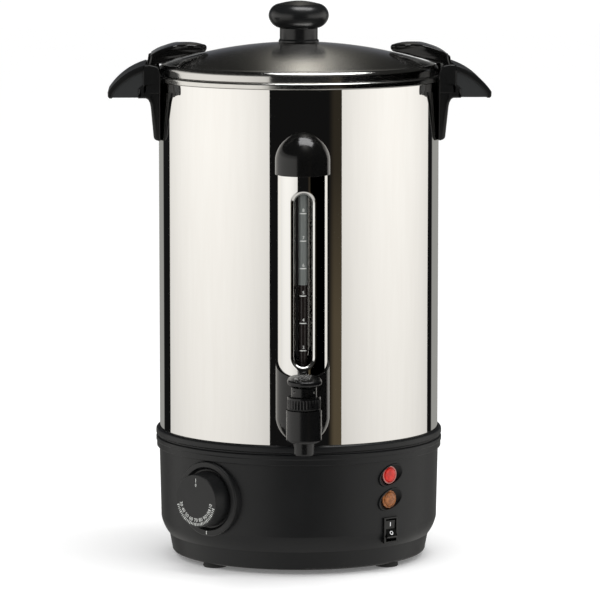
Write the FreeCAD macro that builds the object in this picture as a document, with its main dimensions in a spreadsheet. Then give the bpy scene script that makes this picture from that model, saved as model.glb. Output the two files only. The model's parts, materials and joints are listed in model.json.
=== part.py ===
import FreeCAD, Part
import math
import operator
import os
import types

import Sketcher

# A ten-litre electric hot-water urn: a steel tank in a steel shell on a moulded, heated base.
# Millimetres. The origin is on the vessel's axis at the floor, +Z is up and the tap faces -Y.
# "Outward" means away from the vessel's axis; a piece on the wall is drawn facing +X and then
# turned about the axis to its place.

Vec = FreeCAD.Vector
Turn = FreeCAD.Rotation

# A size written as a formula follows the sizes that it names.
SIZES = [
    # Shell and tank
    ("shell_radius", 116.6, "outside of the steel shell"),
    ("shell_wall", 0.6, "sheet thickness of the shell"),
    ("shell_foot", "=collar_low + 8.5", "height of the shell's lower edge, on the collar's ledge"),
    ("body_height", 404.0, "height of the tank's rolled rim"),
    ("rim_depth", 5.0, "height of the rolled rim's lip"),
    ("rim_overhang", 1.1, "how far the rim stands out past the shell"),
    ("rim_sheet", 1.2, "thickness of the rolled lip"),
    ("tank_gap", 3.3, "air gap between tank and shell"),
    ("tank_wall", 0.8, "sheet thickness of the tank"),
    ("tank_corner", 6.0, "radius between tank wall and floor"),
    ("tank_lift", 3.0, "tank floor above the top of the collar"),
    # Lid
    ("lid_inset", 0.5, "lid's skirt inside the shell's outside"),
    ("lid_wall", 0.8, "sheet thickness of the lid"),
    ("lid_skirt", 8.7, "height of the skirt under the dome"),
    ("lid_dome", 17.5, "rise of the dome above the skirt"),
    ("lid_edge", 3.0, "radius where the dome turns down into the skirt"),
    ("lid_lip", 5.0, "depth of the lip that locates the lid in the tank"),
    ("seat_gap", 0.3, "line of air between lid and rim"),
    # Knob
    ("knob_radius", 25.3, "widest part of the knob"),
    ("knob_neck", 15.8, "radius of the knob's neck"),
    ("knob_neck_height", 12.0, "neck under the mushroom"),
    ("knob_cap", 22.5, "height of the mushroom"),
    ("knob_bore", 2.1, "radius of the screw's thread in the knob"),
    # Base
    ("collar_radius", "=shell_radius + 3.2", "outside of the collar's beads"),
    ("collar_low", 92.5, "lower edge of the collar"),
    ("collar_tall", 16.5, "height of the collar"),
    ("base_radius", "=shell_radius + 0.5", "outside of the base under the collar"),
    ("base_taper", 1.4, "how much narrower the wall is where it starts to round in"),
    ("base_round", 33.0, "height where the wall starts to round in"),
    ("base_step", 19.5, "height of the step above the foot ring"),
    ("base_step_radius", "=base_radius - 7.5", "outside of the base at the step"),
    ("base_wall", 2.5, "wall of the moulded base"),
    ("cover_radius", "=base_step_radius - 3.2", "outside of the foot ring at its foot"),
    ("cover_low", 4.0, "underside of the bottom cover"),
    ("cover_plate", 2.5, "thickness of the bottom cover"),
    ("foot_radius", 10.0, "rubber foot"),
    ("foot_circle", "=cover_radius - 11", "distance of a foot from the axis"),
    ("foot_angle", 48.0, "angle of a foot from the front"),
    # Handles and lid locks
    ("handle_reach", "=shell_radius + 42.4", "tip of the handle from the axis"),
    ("handle_half", 36.0, "half the width of a handle"),
    ("handle_under", "=body_height - 17.8", "height of the handle's flat underside"),
    ("handle_leg", "=body_height - 56", "height of the leg's tip"),
    ("handle_wall", 3.0, "wall of the moulded handle"),
    ("pin_out", 6.1, "hinge pin outside the shell"),
    ("pin_up", 5.5, "hinge pin above the rim"),
    ("pin_radius", 1.5, "hinge pin"),
    ("knuckle_radius", 4.0, "knuckle of the lock round its pin"),
    ("knuckle_half", 24.8, "half the width of the knuckle"),
    ("lock_reach", 46.5, "tip of the lock from its pin"),
    ("lock_half", 17.0, "half the width of the lock's leaf"),
    ("fit", 0.05, "radial running clearance of pins and shafts"),
    ("gap", 0.3, "clearance between parts that must not touch"),
    # Sight gauge
    ("gauge_axis", 5.0, "axis of the half-round cover outside the shell"),
    ("gauge_radius", 20.0, "outside of the chrome cover"),
    ("gauge_sheet", 0.8, "thickness of the chrome cover"),
    ("gauge_low", "=tap_high + 15", "lower edge of the chrome cover"),
    ("gauge_high", "=body_height - 73", "upper edge of the chrome cover"),
    ("slot_half", 9.2, "half the width of the slot"),
    ("slot_low", "=gauge_low + 15", "lower end of the slot"),
    ("slot_high", "=gauge_high - 12.4", "upper end of the slot"),
    ("slot_lip", 4.0, "depth of the slot's turned-in lip"),
    ("tube_axis", 12.5, "gauge tube outside the shell"),
    ("tube_radius", 3.9, "outside of the gauge tube"),
    ("tube_wall", 1.2, "wall of the gauge tube"),
    ("cap_radius", 22.2, "outside of the gauge's top cap"),
    ("cap_tall", 34.0, "height of the top cap"),
    ("shroud_radius", 21.8, "outside of the lower gauge housing"),
    ("shroud_low", "=tap_low - 0.7", "underside of the lower housing"),
    ("shroud_front", "=tap_high + 23", "top edge of the lower housing at its front"),
    ("shroud_rise", 11.0, "how much higher that edge is at the shell"),
    # Tap
    ("tap_reach", "=shell_radius + 43.4", "axis of the tap from the vessel's axis"),
    ("tap_radius", 14.25, "barrel"),
    ("tap_low", "=shank_height - 12.3", "underside of the barrel"),
    ("tap_high", "=shank_height + 14", "top of the barrel"),
    ("tap_chamber", 9.5, "radius of the chamber in the barrel"),
    ("tap_seat", "=shank_height - 7", "height of the valve seat"),
    ("nozzle_radius", 8.3, "outside of the nozzle"),
    ("nozzle_bore", 5.5, "bore of the nozzle"),
    ("nozzle_low", "=tap_low - 10.2", "mouth of the nozzle"),
    ("shank_height", "=collar_low + 38.5", "height of the shank's axis"),
    ("shank_radius", 8.0, "thread of the shank"),
    ("shank_boss", 10.0, "boss between barrel and shell"),
    ("bonnet_radius", 13.5, "fluted bonnet ring"),
    ("bonnet_tall", 10.8, "height of the bonnet ring"),
    ("neck_radius", 10.3, "neck above the bonnet ring"),
    ("neck_bore", 9.2, "inside of the neck"),
    ("neck_tall", 7.5, "height of the neck"),
    ("lever_pin_out", 6.4, "lever's pin in front of the stem"),
    ("lever_pin_up", 15.0, "lever's pin above the barrel"),
    ("lever_low", "=tap_high + 23", "underside of the lever's paddle"),
    ("lever_thick", 3.8, "thickness of the paddle"),
    ("lever_front", 30.0, "paddle in front of the tap's axis"),
    ("lever_back", 13.0, "paddle behind the tap's axis"),
    ("lever_half", 14.0, "half the width of the paddle"),
    ("stem_radius", 2.0, "valve stem"),
    # Controls
    ("dial_angle", 40.7, "dial, to the left of the front"),
    ("dial_height", 61.2, "axis of the dial"),
    ("bezel_radius", 31.0, "outside of the dial's ring"),
    ("bezel_inside", 25.0, "inside of the dial's ring"),
    ("bezel_proud", 3.6, "front of the ring past the base wall"),
    ("dial_radius", 21.6, "dial knob"),
    ("dial_proud", 17.0, "face of the dial past the base wall"),
    ("shaft_radius", 3.0, "thermostat shaft"),
    ("lamp_angle", 38.8, "lamps and rocker, to the right of the front"),
    ("lamp_radius", 7.0, "lamp lens"),
    ("lamp_high", 80.4, "height of the red lamp"),
    ("lamp_mid", 60.2, "height of the amber lamp"),
    ("eye_long", 13.5, "half the length of a lamp's eye-shaped surround"),
    ("eye_short", 8.6, "half its height"),
    ("eye_tilt", 20.0, "tilt of the surround"),
    ("rocker_height", 34.8, "height of the rocker's axis"),
    ("rocker_tall", 21.0, "rocker frame's height"),
    ("rocker_wide", 15.0, "rocker frame's width"),
    ("rocker_swing", 12.0, "rocker's tilt to each side"),
    # Works in the base
    ("plate_radius", 60.0, "heating plate"),
    ("plate_thick", 3.0, "thickness of the heating plate"),
    ("element_radius", 46.0, "heating element's ring"),
    ("stud_circle", 70.0, "distance of a stud from the axis"),
    ("stud_radius", 2.5, "stud"),
    ("inlet_height", 54.0, "height of the mains inlet"),
    ("inlet_half", 14.0, "half the width of the inlet's flange"),
    ("inlet_tall", 50.0, "height of the inlet's flange"),
    ("inlet_pitch", 40.0, "distance between the inlet's screws"),
]

doc = FreeCAD.newDocument("hot_water_urn")
sheet = doc.addObject("Spreadsheet::Sheet", "Sizes")

OPERATIONS = {"+": operator.add, "-": operator.sub, "*": operator.mul, "/": operator.truediv}


class Size:
    """A number with the sheet formula that gives it, so that whatever uses it can be bound to the sheet."""

    def __init__(self, value, text=None):
        self.value = float(value)
        self.text = text or f"({self.value!r})"

    def combine(self, other, sign, swap=False):
        other = other if isinstance(other, Size) else Size(other)
        left, right = (other, self) if swap else (self, other)
        value = OPERATIONS[sign](left.value, right.value)
        return Size(value, f"({left.text} {sign} {right.text})")

    def __add__(self, other):
        return self.combine(other, "+")

    def __sub__(self, other):
        return self.combine(other, "-")

    def __mul__(self, other):
        return self.combine(other, "*")

    def __truediv__(self, other):
        return self.combine(other, "/")

    def __radd__(self, other):
        return self.combine(other, "+", swap=True)

    def __rsub__(self, other):
        return self.combine(other, "-", swap=True)

    def __rmul__(self, other):
        return self.combine(other, "*", swap=True)

    def __neg__(self):
        return 0 - self


def size(number):
    return number if isinstance(number, Size) else Size(number)


def cosine(angle):
    return Size(math.cos(math.radians(angle.value)), f"cos({angle.text})")


def sine(angle):
    return Size(math.sin(math.radians(angle.value)), f"sin({angle.text})")


def sphere(reach, rise):
    """Radius of the sphere whose cap has this radius at its rim and this rise."""
    reach, rise = size(reach), size(rise)
    return (reach * reach + rise * rise) / (2 * rise)


for row, (alias, _, meaning) in enumerate(SIZES, start=1):
    sheet.set(f"A{row}", alias)
    sheet.set(f"C{row}", meaning)
    sheet.setAlias(f"B{row}", alias)
for row, (_, value, _) in enumerate(SIZES, start=1):
    sheet.set(f"B{row}", str(value))
doc.recompute()
S = types.SimpleNamespace(**{alias: Size(sheet.get(alias), f"Sizes.{alias}") for alias, _, _ in SIZES})

nodes = []


def keep(thing, name):
    """Label a finished piece as a node; its label names its file."""
    thing.Label = name
    nodes.append(thing)
    return thing


def bind(thing, **formulas):
    """Set properties of an object and bind each to the sheet."""
    for path, number in formulas.items():
        number = size(number)
        path = path.replace("__", ".")
        if "." not in path:
            setattr(thing, path, number.value)
        thing.setExpression(path, number.text)
    return thing


def at(thing, angle=0, out=0, side=0, up=0, lie=None):
    """Put a piece that was drawn facing +X at an angle about the axis, moved out, sideways and up."""
    angle, out, side, up = size(angle), size(out), size(side), size(up)
    east = out * cosine(angle) - side * sine(angle)
    north = out * sine(angle) + side * cosine(angle)
    turn = Turn(Vec(0, 0, 1), angle.value)
    if lie is not None:
        turn = turn.multiply(lie)
    thing.Placement = FreeCAD.Placement(Vec(east.value, north.value, up.value), turn)
    bind(thing, Placement__Base__x=east, Placement__Base__y=north, Placement__Base__z=up)
    return thing


def sketch(body, plane, path, offset=0):
    """Close a path into a sketch on one of the body's own planes, offset along its normal.

    A point is (across, up). A third value is the radius of the arc that reaches it from the point
    before: positive where the path turns left, negative where it turns right.
    """
    drawing = body.newObject("Sketcher::SketchObject", body.Name + "_outline")
    support = next(item for item in body.Origin.OriginFeatures if item.Role == plane)
    drawing.AttachmentSupport = (support, [""])
    drawing.MapMode = "FlatFace"
    drawing.AttachmentOffset = FreeCAD.Placement(Vec(0, 0, size(offset).value), Turn())
    bind(drawing, AttachmentOffset__Base__z=offset)
    path = [tuple(size(number) for number in point) for point in path]
    ends = []
    for index, start in enumerate(path):
        end = path[(index + 1) % len(path)]
        a = Vec(start[0].value, start[1].value, 0)
        b = Vec(end[0].value, end[1].value, 0)
        if len(end) < 3:
            drawing.addGeometry(Part.LineSegment(a, b), False)
            ends.append((1, 2))
            continue
        radius = abs(end[2].value)
        left = end[2].value > 0
        chord = b - a
        normal = Vec(-chord.y, chord.x, 0).normalize() * (1 if left else -1)
        centre = (a + b) * 0.5 + normal * math.sqrt(max(radius**2 - (chord.Length / 2) ** 2, 0))
        first, last = (a, b) if left else (b, a)
        angles = [math.atan2(p.y - centre.y, p.x - centre.x) for p in (first, last)]
        circle = Part.Circle(centre, Vec(0, 0, 1), radius)
        drawing.addGeometry(Part.ArcOfCircle(circle, angles[0], angles[1]), False)
        ends.append((1, 2) if left else (2, 1))
    for index, point in enumerate(path):
        before = index - 1 if index else len(path) - 1
        join = Sketcher.Constraint("Coincident", before, ends[before][1], index, ends[index][0])
        drawing.addConstraint(join)
        for kind, number in zip(("DistanceX", "DistanceY"), point):
            fix = Sketcher.Constraint(kind, index, ends[index][0], number.value)
            place = drawing.addConstraint(fix)
            drawing.setExpression(f"Constraints[{place}]", number.text)
        if len(point) == 3:
            bend = point[2] if point[2].value > 0 else -point[2]
            place = drawing.addConstraint(Sketcher.Constraint("Radius", before, bend.value))
            drawing.setExpression(f"Constraints[{place}]", bend.text)
    return drawing


def turned(name, path, axis="V_Axis"):
    """A body turned about its own Z axis, or with H_Axis about its own X axis."""
    body = doc.addObject("PartDesign::Body", name)
    drawing = sketch(body, "XZ_Plane", path)
    turn = body.newObject("PartDesign::Revolution", name + "_turn")
    turn.Profile = drawing
    turn.ReferenceAxis = (drawing, [axis])
    turn.Angle = 360
    return body


def sliced(name, path, half):
    """A side outline, drawn outward and up, padded to both sides."""
    body = doc.addObject("PartDesign::Body", name)
    drawing = sketch(body, "XZ_Plane", path)
    pad = body.newObject("PartDesign::Pad", name + "_pad")
    pad.Profile = drawing
    pad.Midplane = True
    bind(pad, Length=size(half) * 2)
    return body


def raised(name, path, low, high, plane="XY_Plane"):
    """An outline padded between two distances along its plane's normal."""
    body = doc.addObject("PartDesign::Body", name)
    drawing = sketch(body, plane, path, low)
    pad = body.newObject("PartDesign::Pad", name + "_pad")
    pad.Profile = drawing
    bind(pad, Length=size(high) - low)
    return body


def rod(name, radius, low, high, **place):
    """An upright cylinder."""
    thing = bind(doc.addObject("Part::Cylinder", name), Radius=radius, Height=size(high) - low)
    return at(thing, up=place.pop("up", 0) + size(low), **place)


def rod_out(name, radius, near, far, angle, up, side=0):
    """A cylinder that points outward."""
    thing = bind(doc.addObject("Part::Cylinder", name), Radius=radius, Height=size(far) - near)
    return at(thing, angle, near, side, up, lie=Turn(Vec(0, 1, 0), 90))


def rod_across(name, radius, half, angle, out, up):
    """A cylinder that lies across, along the wall."""
    thing = bind(doc.addObject("Part::Cylinder", name), Radius=radius, Height=size(half) * 2)
    return at(thing, angle, out, -size(half), up, lie=Turn(Vec(1, 0, 0), -90))


def block(name, near, far, half, low, high, angle, side=0):
    """A box, centred sideways."""
    thing = doc.addObject("Part::Box", name)
    bind(thing, Length=size(far) - near, Width=size(half) * 2, Height=size(high) - low)
    return at(thing, angle, near, size(side) - half, low)


def cut(name, base, *tools):
    for number, tool in enumerate(tools):
        result = doc.addObject("Part::Cut", f"{name}_cut{number}")
        result.Base = base
        result.Tool = tool
        base = result
    return base


def fuse(name, *pieces):
    result = doc.addObject("Part::MultiFuse", name + "_joined")
    result.Shapes = list(pieces)
    return result


def common(name, first, second):
    result = doc.addObject("Part::Common", name + "_common")
    result.Base = first
    result.Tool = second
    return result


def group(name, pieces):
    """Identical separate solids that share a node."""
    result = doc.addObject("Part::Compound", name + "_group")
    result.Links = list(pieces)
    return keep(result, name)


FRONT = Size(-90)
REAR = Size(90)

# Heights and radii that several pieces share
collar_high = S.collar_low + S.collar_tall
shell_inside = S.shell_radius - S.shell_wall
tank_outside = shell_inside - S.tank_gap
tank_inside = tank_outside - S.tank_wall
tank_floor = collar_high + S.tank_lift
rim_radius = S.shell_radius + S.rim_overhang
rim_low = S.body_height - S.rim_depth
shell_top = rim_low - S.gap
lid_radius = S.shell_radius - S.lid_inset
lid_low = S.body_height + S.seat_gap
lid_shoulder = lid_low + S.lid_skirt
lid_apex = lid_shoulder + S.lid_dome
dome_edge = lid_radius - S.lid_edge
dome_radius = sphere(dome_edge, S.lid_dome)

# ---------------------------------------------------------------- tank and shell
corner = S.tank_corner
inner_corner = corner - S.tank_wall
lip_inside = rim_radius - S.rim_sheet
roll = 1.5
tank = turned("tank_body", [
    (0, tank_floor),
    (tank_outside - corner, tank_floor),
    (tank_outside, tank_floor + corner, corner),
    (tank_outside, S.body_height - S.rim_sheet),
    (lip_inside, S.body_height - S.rim_sheet),
    (lip_inside, rim_low),
    (rim_radius, rim_low),
    (rim_radius, S.body_height - roll),
    (rim_radius - roll, S.body_height, roll),
    (tank_inside, S.body_height),
    (tank_inside, tank_floor + corner),
    (tank_inside - inner_corner, tank_floor + S.tank_wall, -inner_corner),
    (0, tank_floor + S.tank_wall),
])
shell = turned("shell_body", [
    (shell_inside, S.shell_foot),
    (S.shell_radius, S.shell_foot),
    (S.shell_radius, shell_top),
    (shell_inside, shell_top),
])

shank_hole = S.shank_radius + S.gap
tank_hole = rod_out("tank_hole", shank_hole, tank_inside - 5, tank_outside + 2, FRONT, S.shank_height)
shell_hole = rod_out("shell_hole", shank_hole, shell_inside - 2, S.shell_radius + 2, FRONT,
                     S.shank_height)
keep(cut("tank", tank, tank_hole), "inner_tank")

# ---------------------------------------------------------------- lid and knob
screw_hole = S.knob_bore + S.gap
lip_outside = tank_inside - S.lid_inset
lid = turned("lid_body", [
    (screw_hole, lid_apex - S.lid_wall),
    (dome_edge, lid_shoulder - S.lid_wall, -dome_radius),
    (lid_radius - S.lid_wall, lid_shoulder - S.lid_edge, -(S.lid_edge - S.lid_wall + 0.6)),
    (lid_radius - S.lid_wall, lid_low + S.lid_wall),
    (lip_outside - S.lid_wall, lid_low + S.lid_wall),
    (lip_outside - S.lid_wall, lid_low - S.lid_lip),
    (lip_outside, lid_low - S.lid_lip),
    (lip_outside, lid_low),
    (lid_radius, lid_low),
    (lid_radius, lid_shoulder - S.lid_edge),
    (dome_edge, lid_shoulder, S.lid_edge + 0.4),
    (screw_hole, lid_apex, dome_radius),
])
keep(lid, "lid")

neck_top = lid_apex + S.knob_neck_height
knob_top = neck_top + S.knob_cap
knob_wide = neck_top + S.knob_cap / 2
knob_crown = S.knob_radius - 8
screw_depth = 14
keep(turned("knob_body", [
    (S.knob_bore, lid_apex),
    (S.knob_neck + 1, lid_apex),
    (S.knob_neck, lid_apex + 2),
    (S.knob_neck, neck_top),
    (S.knob_radius, knob_wide, 11.5),
    (knob_crown, knob_top - 2, 9.5),
    (0, knob_top, sphere(knob_crown, 2)),
    (0, lid_apex + screw_depth),
    (S.knob_bore, lid_apex + screw_depth),
]), "lid_knob")
washer_thick = 1.2
washer_radius = 9
head_tall = 2.6
head_radius = 4.5
washer_top = lid_apex - S.lid_wall - 0.2
keep(turned("washer_body", [
    (screw_hole, washer_top - washer_thick),
    (washer_radius, washer_top - washer_thick),
    (washer_radius, washer_top),
    (screw_hole, washer_top),
]), "knob_washer")
keep(turned("knob_screw_body", [
    (0, washer_top - washer_thick - head_tall),
    (head_radius - 1, washer_top - washer_thick - head_tall),
    (head_radius, washer_top - washer_thick - head_tall + 1, 1),
    (head_radius, washer_top - washer_thick),
    (S.knob_bore - S.fit, washer_top - washer_thick),
    (S.knob_bore - S.fit, lid_apex + screw_depth - 2),
    (0, lid_apex + screw_depth - 2),
]), "knob_screw")

# ---------------------------------------------------------------- collar, base housing, bottom cover, feet
bead = 3.2
waist = S.collar_radius - 1.4
collar_foot = S.collar_low + 2
ledge = shell_inside - 5
base_inside = S.base_radius - S.base_wall
keep(turned("collar_body", [
    (S.base_radius + 0.2, S.collar_low),
    (S.collar_radius - 1.5, S.collar_low),
    (S.collar_radius, S.collar_low + 1.5, 1.5),
    (S.collar_radius, collar_high - 9.5),
    (waist, collar_high - 8.1),
    (waist, collar_high - 7.2),
    (S.collar_radius, collar_high - 5.8),
    (S.collar_radius, collar_high - bead),
    (S.shell_radius + 0.4, collar_high, bead),
    (S.shell_radius + 0.1, collar_high),
    (S.shell_radius + 0.1, S.shell_foot),
    (ledge, S.shell_foot),
    (ledge, collar_foot),
    (S.base_radius + 0.2, collar_foot),
]), "base_collar")

round_radius = S.base_radius - S.base_taper
flange = S.cover_radius - 11
base = turned("base_body", [
    (flange, S.base_step),
    (S.base_step_radius, S.base_step),
    (round_radius, S.base_round, 30),
    (S.base_radius, collar_foot),
    (base_inside, collar_foot),
    (round_radius - S.base_wall, S.base_round),
    (S.base_step_radius - S.base_wall, S.base_step + S.base_wall, -30),
    (flange, S.base_step + S.base_wall),
])

cover_inside = S.cover_radius - S.base_wall
cover_top = S.base_step
cover = turned("cover_body", [
    (0, S.cover_low),
    (S.cover_radius - 2, S.cover_low),
    (S.cover_radius, S.cover_low + 2, 2),
    (S.base_step_radius - 0.6, cover_top),
    (flange + 1, cover_top),
    (flange + 1, cover_top - S.base_wall),
    (cover_inside, cover_top - S.base_wall),
    (cover_inside, S.cover_low + S.cover_plate),
    (0, S.cover_low + S.cover_plate),
])

# Screws through the foot ring into the base, studs from the tank to the bottom cover, rubber feet
screw_circle = flange + 4.5
screw_turns = [Size(angle) for angle in (0, 90, 180, 270)]
stud_turns = [Size(angle) for angle in (30, 150, 270)]
screw_radius = 1.7
cover_tools = []
base_tools = []
screws = []
for number, angle in enumerate(screw_turns):
    well = rod(f"screw_well_{number}", 4.4, S.cover_low - 1, cover_top - S.base_wall + 0.1,
               angle=angle, out=screw_circle)
    hole = rod(f"screw_hole_{number}", screw_radius + S.fit, S.cover_low, S.base_step + 12,
               angle=angle, out=screw_circle)
    head = rod(f"screw_head_{number}", 3.6, cover_top - S.base_wall - 2, cover_top - S.base_wall,
               angle=angle, out=screw_circle)
    shank = rod(f"screw_shank_{number}", screw_radius, cover_top - S.base_wall, S.base_step + 2.4,
                angle=angle, out=screw_circle)
    screws.append(fuse(f"screw_{number}", head, shank))
    cover_tools += [well, hole]
    base_tools.append(hole)
group("bottom_screws", screws)

studs = []
for number, angle in enumerate(stud_turns):
    place = {"angle": angle, "out": S.stud_circle}
    rod_part = rod(f"stud_rod_{number}", S.stud_radius, S.cover_low + 1, tank_floor, **place)
    nut = rod(f"stud_nut_{number}", 4.5, S.cover_low + S.cover_plate, S.cover_low + S.cover_plate + 4,
              **place)
    cover_tools.append(rod(f"stud_hole_{number}", S.stud_radius + S.gap, S.cover_low - 1, 12, **place))
    studs.append(fuse(f"stud_{number}", rod_part, nut))
group("base_studs", studs)
keep(cut("cover", cover, *cover_tools), "bottom_cover")

feet = []
for number in range(4):
    quarter = S.foot_angle if number % 2 else 180 - S.foot_angle
    angle = FRONT + (quarter if number < 2 else -quarter)
    foot = turned(f"foot_{number}", [
        (0, 0),
        (S.foot_radius - 1.5, 0),
        (S.foot_radius, 1.5, 1.5),
        (S.foot_radius - 0.5, S.cover_low),
        (0, S.cover_low),
    ])
    feet.append(at(foot, angle, S.foot_circle))
group("rubber_feet", feet)

# ---------------------------------------------------------------- handles, lid locks and their pins
# The handle is drawn facing +X. Its grip is an arch over a flat underside, hollow below for the
# fingers, and its leg follows the shell down to a rounded tip.
pin_x = S.shell_radius + S.pin_out
pin_z = S.body_height + S.pin_up
tip = S.handle_reach
under = S.handle_under
leg_out = S.shell_radius + 3.7
arch_z = under + 16.2
crest_x = pin_x + 5.2
crest_z = pin_z + 4.7
inside = S.shell_radius - 12
handle_fit = S.shell_radius + 0.15
rim_fit = rim_radius + S.gap
scoop = 14.2
handle_screw_heights = (S.handle_leg + 14, under + 6)
handle_screws = []
shell_tools = [shell_hole]
for side, angle in (("right", Size(0)), ("left", Size(180))):
    grip = sliced(f"grip_{side}", [
        (inside, S.handle_leg),
        (leg_out - 2.6, S.handle_leg),
        (leg_out, S.handle_leg + 3.2, 3.2),
        (S.shell_radius + 6.6, under - 2.6),
        (S.shell_radius + 9.8, under, -3.4),
        (tip - 3.6, under),
        (tip, under + 5.8, 5.6),
        (tip - 6.1, arch_z, 18),
        (crest_x, crest_z, 40),
        (crest_x, S.body_height),
        (inside, S.body_height),
    ], S.handle_half)
    at(grip, angle)
    leg_sides = []
    ears = []
    for sign, end in ((1, "front"), (-1, "back")):
        # the leg narrows towards its tip
        low_half = S.handle_half - 10
        taper = raised(f"leg_taper_{side}_{end}", [
            (sign * S.handle_half + sign * 0.5, under - 2),
            (sign * (low_half + 4), S.handle_leg + 8),
            (sign * low_half, S.handle_leg - 1),
            (sign * (S.handle_half + 2), S.handle_leg - 1),
        ], inside - 1, tip, "YZ_Plane")
        leg_sides.append(at(taper, angle))
        ear = sliced(f"ear_{side}_{end}", [
            (inside, S.body_height - 1),
            (crest_x + 2, S.body_height - 1),
            (crest_x + 2, crest_z - 0.4),
            (crest_x - 2, crest_z),
            (pin_x - 2, crest_z - 0.6),
            (pin_x - 8, pin_z),
            (inside, pin_z - 2),
        ], (S.handle_half - S.knuckle_half - S.gap) / 2)
        middle = (S.handle_half + S.knuckle_half + S.gap) / 2
        ears.append(at(ear, angle, side=sign * middle))
    solid = fuse(f"handle_solid_{side}", grip, *ears)
    finger = sliced(f"finger_well_{side}", [
        (S.shell_radius + 13, under - 1),
        (tip - 4.6, under - 1),
        (tip - 4.6, under + 5.4),
        (tip - 9.4, arch_z - S.handle_wall, 16),
        (crest_x + 11, crest_z - S.handle_wall - 3.2, 38),
        (crest_x + 11, under + 9),
        (S.shell_radius + 13, under + 9),
    ], S.handle_half - S.handle_wall)
    at(finger, angle)
    notch = rod_across(f"lock_scoop_{side}", scoop, S.knuckle_half + S.gap, angle, pin_x, pin_z)
    shell_space = rod(f"shell_clear_{side}", handle_fit, S.handle_leg - 5, rim_low - 0.2)
    rim_space = rod(f"rim_clear_{side}", rim_fit, rim_low - 0.3, lid_apex)
    pin_hole = rod_across(f"pin_hole_{side}", S.pin_radius + 0.02, S.handle_half - 3, angle, pin_x, pin_z)
    tools = [shell_space, rim_space, notch, pin_hole, finger] + leg_sides
    for height in handle_screw_heights:
        label = f"handle_screw_{side}_{len(handle_screws)}"
        tools.append(rod_out(label + "_bore", 2.0 + S.fit, inside, S.shell_radius + 2.6, angle, height))
        shell_tools.append(rod_out(label + "_hole", 2.3, shell_inside - 3, S.shell_radius + 1, angle,
                                   height))
        head = rod_out(label + "_head", 4.0, shell_inside - 2.6, shell_inside - 0.4, angle, height)
        shank = rod_out(label + "_shank", 2.0, shell_inside - 1, S.shell_radius + 2.4, angle, height)
        handle_screws.append(fuse(label, head, shank))
    keep(cut(f"handle_{side}", solid, *tools), f"handle_{side}")
    pin = rod_across(f"lock_pin_rod_{side}", S.pin_radius, S.handle_half - 3.2, angle, pin_x, pin_z)
    keep(pin, f"lock_pin_{side}")

    # The lock: a knuckle round the pin and a long arched leaf that lies close over the dome. It opens
    # much faster than the lid comes up, so that its underside swings clear.
    leaf_tip = pin_x - S.lock_reach
    knuckle = S.knuckle_radius
    profile = sliced(f"lock_profile_{side}", [
        (pin_x - knuckle, pin_z),
        (pin_x, pin_z - knuckle, knuckle),
        (pin_x + knuckle, pin_z, knuckle),
        (pin_x + 2.6, pin_z + 8),
        (pin_x - 0.6, pin_z + 12.2, 6),
        (pin_x - 27.6, pin_z + 21, 60),
        (leaf_tip + 1.6, pin_z + 19.2, 44),
        (leaf_tip + 1, pin_z + 14.2, 2.8),
        (pin_x - 20.6, pin_z + 7.9),
        (pin_x - 9.6, pin_z + 4.7),
        (pin_x - knuckle, pin_z + 4.5),
    ], S.knuckle_half)
    at(profile, angle)
    half = S.lock_half
    plan = raised(f"lock_plan_{side}", [
        (pin_x + 6, -S.knuckle_half),
        (pin_x + 6, S.knuckle_half),
        (pin_x - 5, S.knuckle_half),
        (pin_x - 10, half + 2, 9),
        (pin_x - 26, half - 1.5),
        (leaf_tip, 0, 34),
        (pin_x - 26, -half + 1.5, 34),
        (pin_x - 10, -half - 2),
        (pin_x - 5, -S.knuckle_half, 9),
    ], pin_z - 10, pin_z + 30)
    at(plan, angle)
    bore = rod_across(f"lock_bore_{side}", S.pin_radius + S.fit, S.knuckle_half + 1, angle, pin_x, pin_z)
    lock = common(f"lock_{side}", profile, plan)
    keep(cut(f"lock_{side}", lock, bore), f"lock_{side}")
group("handle_screws", handle_screws)
keep(cut("shell", shell, *shell_tools), "outer_shell")

# ---------------------------------------------------------------- sight gauge
gauge_x = S.shell_radius + S.gauge_axis
gauge_front = gauge_x + S.gauge_radius
tube_x = S.shell_radius + S.tube_axis
shell_clear = S.shell_radius + 0.1


def drum(name):
    """The space of the shell, which pieces that stand against it are cut back to."""
    return rod(name, shell_clear, tank_floor - 10, shell_top)


def stadium(name, half, low, high, near, far):
    """A round-ended upright slab that faces the front."""
    body = raised(name, [
        (-half, low + half),
        (0, low, half),
        (half, low + half, half),
        (half, high - half),
        (0, high, half),
        (-half, high - half, half),
    ], near, far, "YZ_Plane")
    return at(body, FRONT)


half_round = turned("gauge_round", [
    (S.gauge_radius - S.gauge_sheet, S.gauge_low),
    (S.gauge_radius, S.gauge_low),
    (S.gauge_radius, S.gauge_high),
    (S.gauge_radius - S.gauge_sheet, S.gauge_high),
])
at(half_round, FRONT, gauge_x)
lip_near = gauge_front - 2.4 - S.slot_lip
slot = stadium("gauge_slot", S.slot_half, S.slot_low, S.slot_high, gauge_x, gauge_front + 3)
lip_slab = stadium("gauge_lip", S.slot_half + S.gauge_sheet, S.slot_low - S.gauge_sheet,
                   S.slot_high + S.gauge_sheet, lip_near, gauge_front + 2)
lip_round = rod("gauge_lip_round", S.gauge_radius - 0.1, S.gauge_low, S.gauge_high, angle=FRONT,
                out=gauge_x)
turned_in = common("gauge_lip", lip_slab, lip_round)
keep(cut("gauge_cover", fuse("gauge_cover", half_round, turned_in), slot, drum("gauge_drum")),
     "gauge_cover")

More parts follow.
